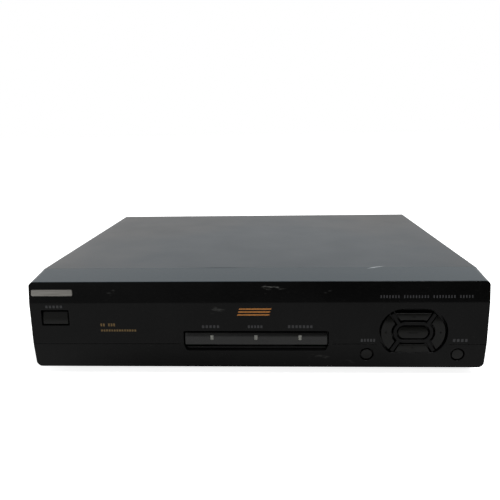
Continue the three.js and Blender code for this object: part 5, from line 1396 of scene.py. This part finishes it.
# painted shade on the paper, seen only in reflections: close in front of the middle, along the right and far out
spot = add(tree, "SeparateXYZ", [place]).outputs
aside, ahead = [add(tree, "Math", [spot[axis]], operation="ABSOLUTE") for axis in ("X", "Y")]
beside = add(tree, "MapRange", [aside, 0.18, 0.09])
close = add(tree, "MapRange", [ahead, 0.2, 0.16, 0, 0.6])
in_middle = add(tree, "Math", [close, beside], operation="MULTIPLY")
at_right = add(tree, "MapRange", [spot["X"], -0.22, -0.02, 0, 0.2])
nearby = add(tree, "Math", [in_middle, at_right], operation="MAXIMUM")
far_out = add(tree, "MapRange", [spot["Y"], -0.45, -0.9])
left_light = add(tree, "MapRange", [spot["X"], -0.9, -0.3, 0.6, 1])
distant = add(tree, "Math", [far_out, left_light], operation="MULTIPLY")
painted_floor_shade = add(tree, "Math", [nearby, distant], operation="MAXIMUM")
mirrored = add(tree, "Math", [painted_floor_shade, add(tree, "LightPath").outputs["Is Glossy Ray"]], operation="MULTIPLY")
# the near-black that the painted shade mixes into the paper
painted_shade_black = add(tree, "BsdfDiffuse", [(0.02, 0.02, 0.02, 1)])
add(tree, "OutputMaterial", [add(tree, "MixShader", [mirrored, white_paper, painted_shade_black])])
floor_mesh.materials.append(paper)
print("floor:", paper.name)

# %% World
world = bpy.data.worlds.new("studio")
bpy.context.scene.world = world
world.use_nodes = True
tree = world.node_tree
tree.nodes.clear()
camera_rays, background_rays = shows_background(tree)
toward = add(tree, "SeparateXYZ", [add(tree, "TexCoord").outputs["Generated"]]).outputs
room = add(tree, "MapRange", [toward["Y"], -0.5, 0.3])
rising = add(tree, "MapRange", [toward["Z"], 0.1, 0.4, 0.7, 1])
left_wall = add(tree, "MapRange", [toward["X"], -0.35, 0.05, 1, 0.01])
seen_room = add(tree, "Math", [room, rising], operation="MULTIPLY")
walls = add(tree, "Math", [seen_room, left_wall], operation="MAXIMUM")
brightness = add(tree, "Math", [walls, camera_rays], operation="MAXIMUM")
soft = add(tree, "Background", [linear("#e6e9ee"), 0.42])
white = add(tree, "Background", [(1, 1, 1, 1), brightness])
add(tree, "OutputWorld", [add(tree, "MixShader", [background_rays, soft, white])])
print("world:", world.name)

# %% Lamps


def softbox(name, place, aim_at, size, watts):
    """A square area lamp that looks at a point."""
    data = bpy.data.lights.new(name, "AREA")
    data.shape, data.size, data.energy = "SQUARE", size, watts
    lamp = bpy.data.objects.new(name, data)
    lamp.location = place
    lamp.rotation_mode = "QUATERNION"
    lamp.rotation_quaternion = (Vector(aim_at) - Vector(place)).to_track_quat("-Z", "Y")
    scene_objects.link(lamp)


softbox("key_softbox", (0.5, -0.7, 1.4), (0, 0, 0), 0.8, 25)
softbox("left_softbox", (-1.6, -0.7, 0.5), (-0.1, -0.1, 0.04), 0.8, 5)
bpy.context.scene.view_settings.view_transform = "Standard"

# %% Finishes of the CAD nodes that stay
by_slot = {
    "painted_steel": case_paint, "zinc_steel": zinc_sheet, "black_plastic": fascia_abs, "key_plastic": key_abs,
    "smoked_plastic": smoked_acrylic, "clear_plastic": frosted_guide, "badge_metal": satin_aluminium,
    "rubber": rubber, "black_screw": oxide_screw, "circuit_board": board_mask, "component_black": component_resin,
    "tin_plate": tinned_sheet, "core_steel": core_steel, "sink_aluminium": sink_aluminium,
    "blue_sleeve": blue_sleeve, "cable_grey": ribbon_vinyl, "nickel": nickel_plate,
}
for node in nodes.values():
    for held in node.material_slots:
        held.material = by_slot[held.material.name.split(".")[0]]
print("finishes given to", len(nodes), "nodes")
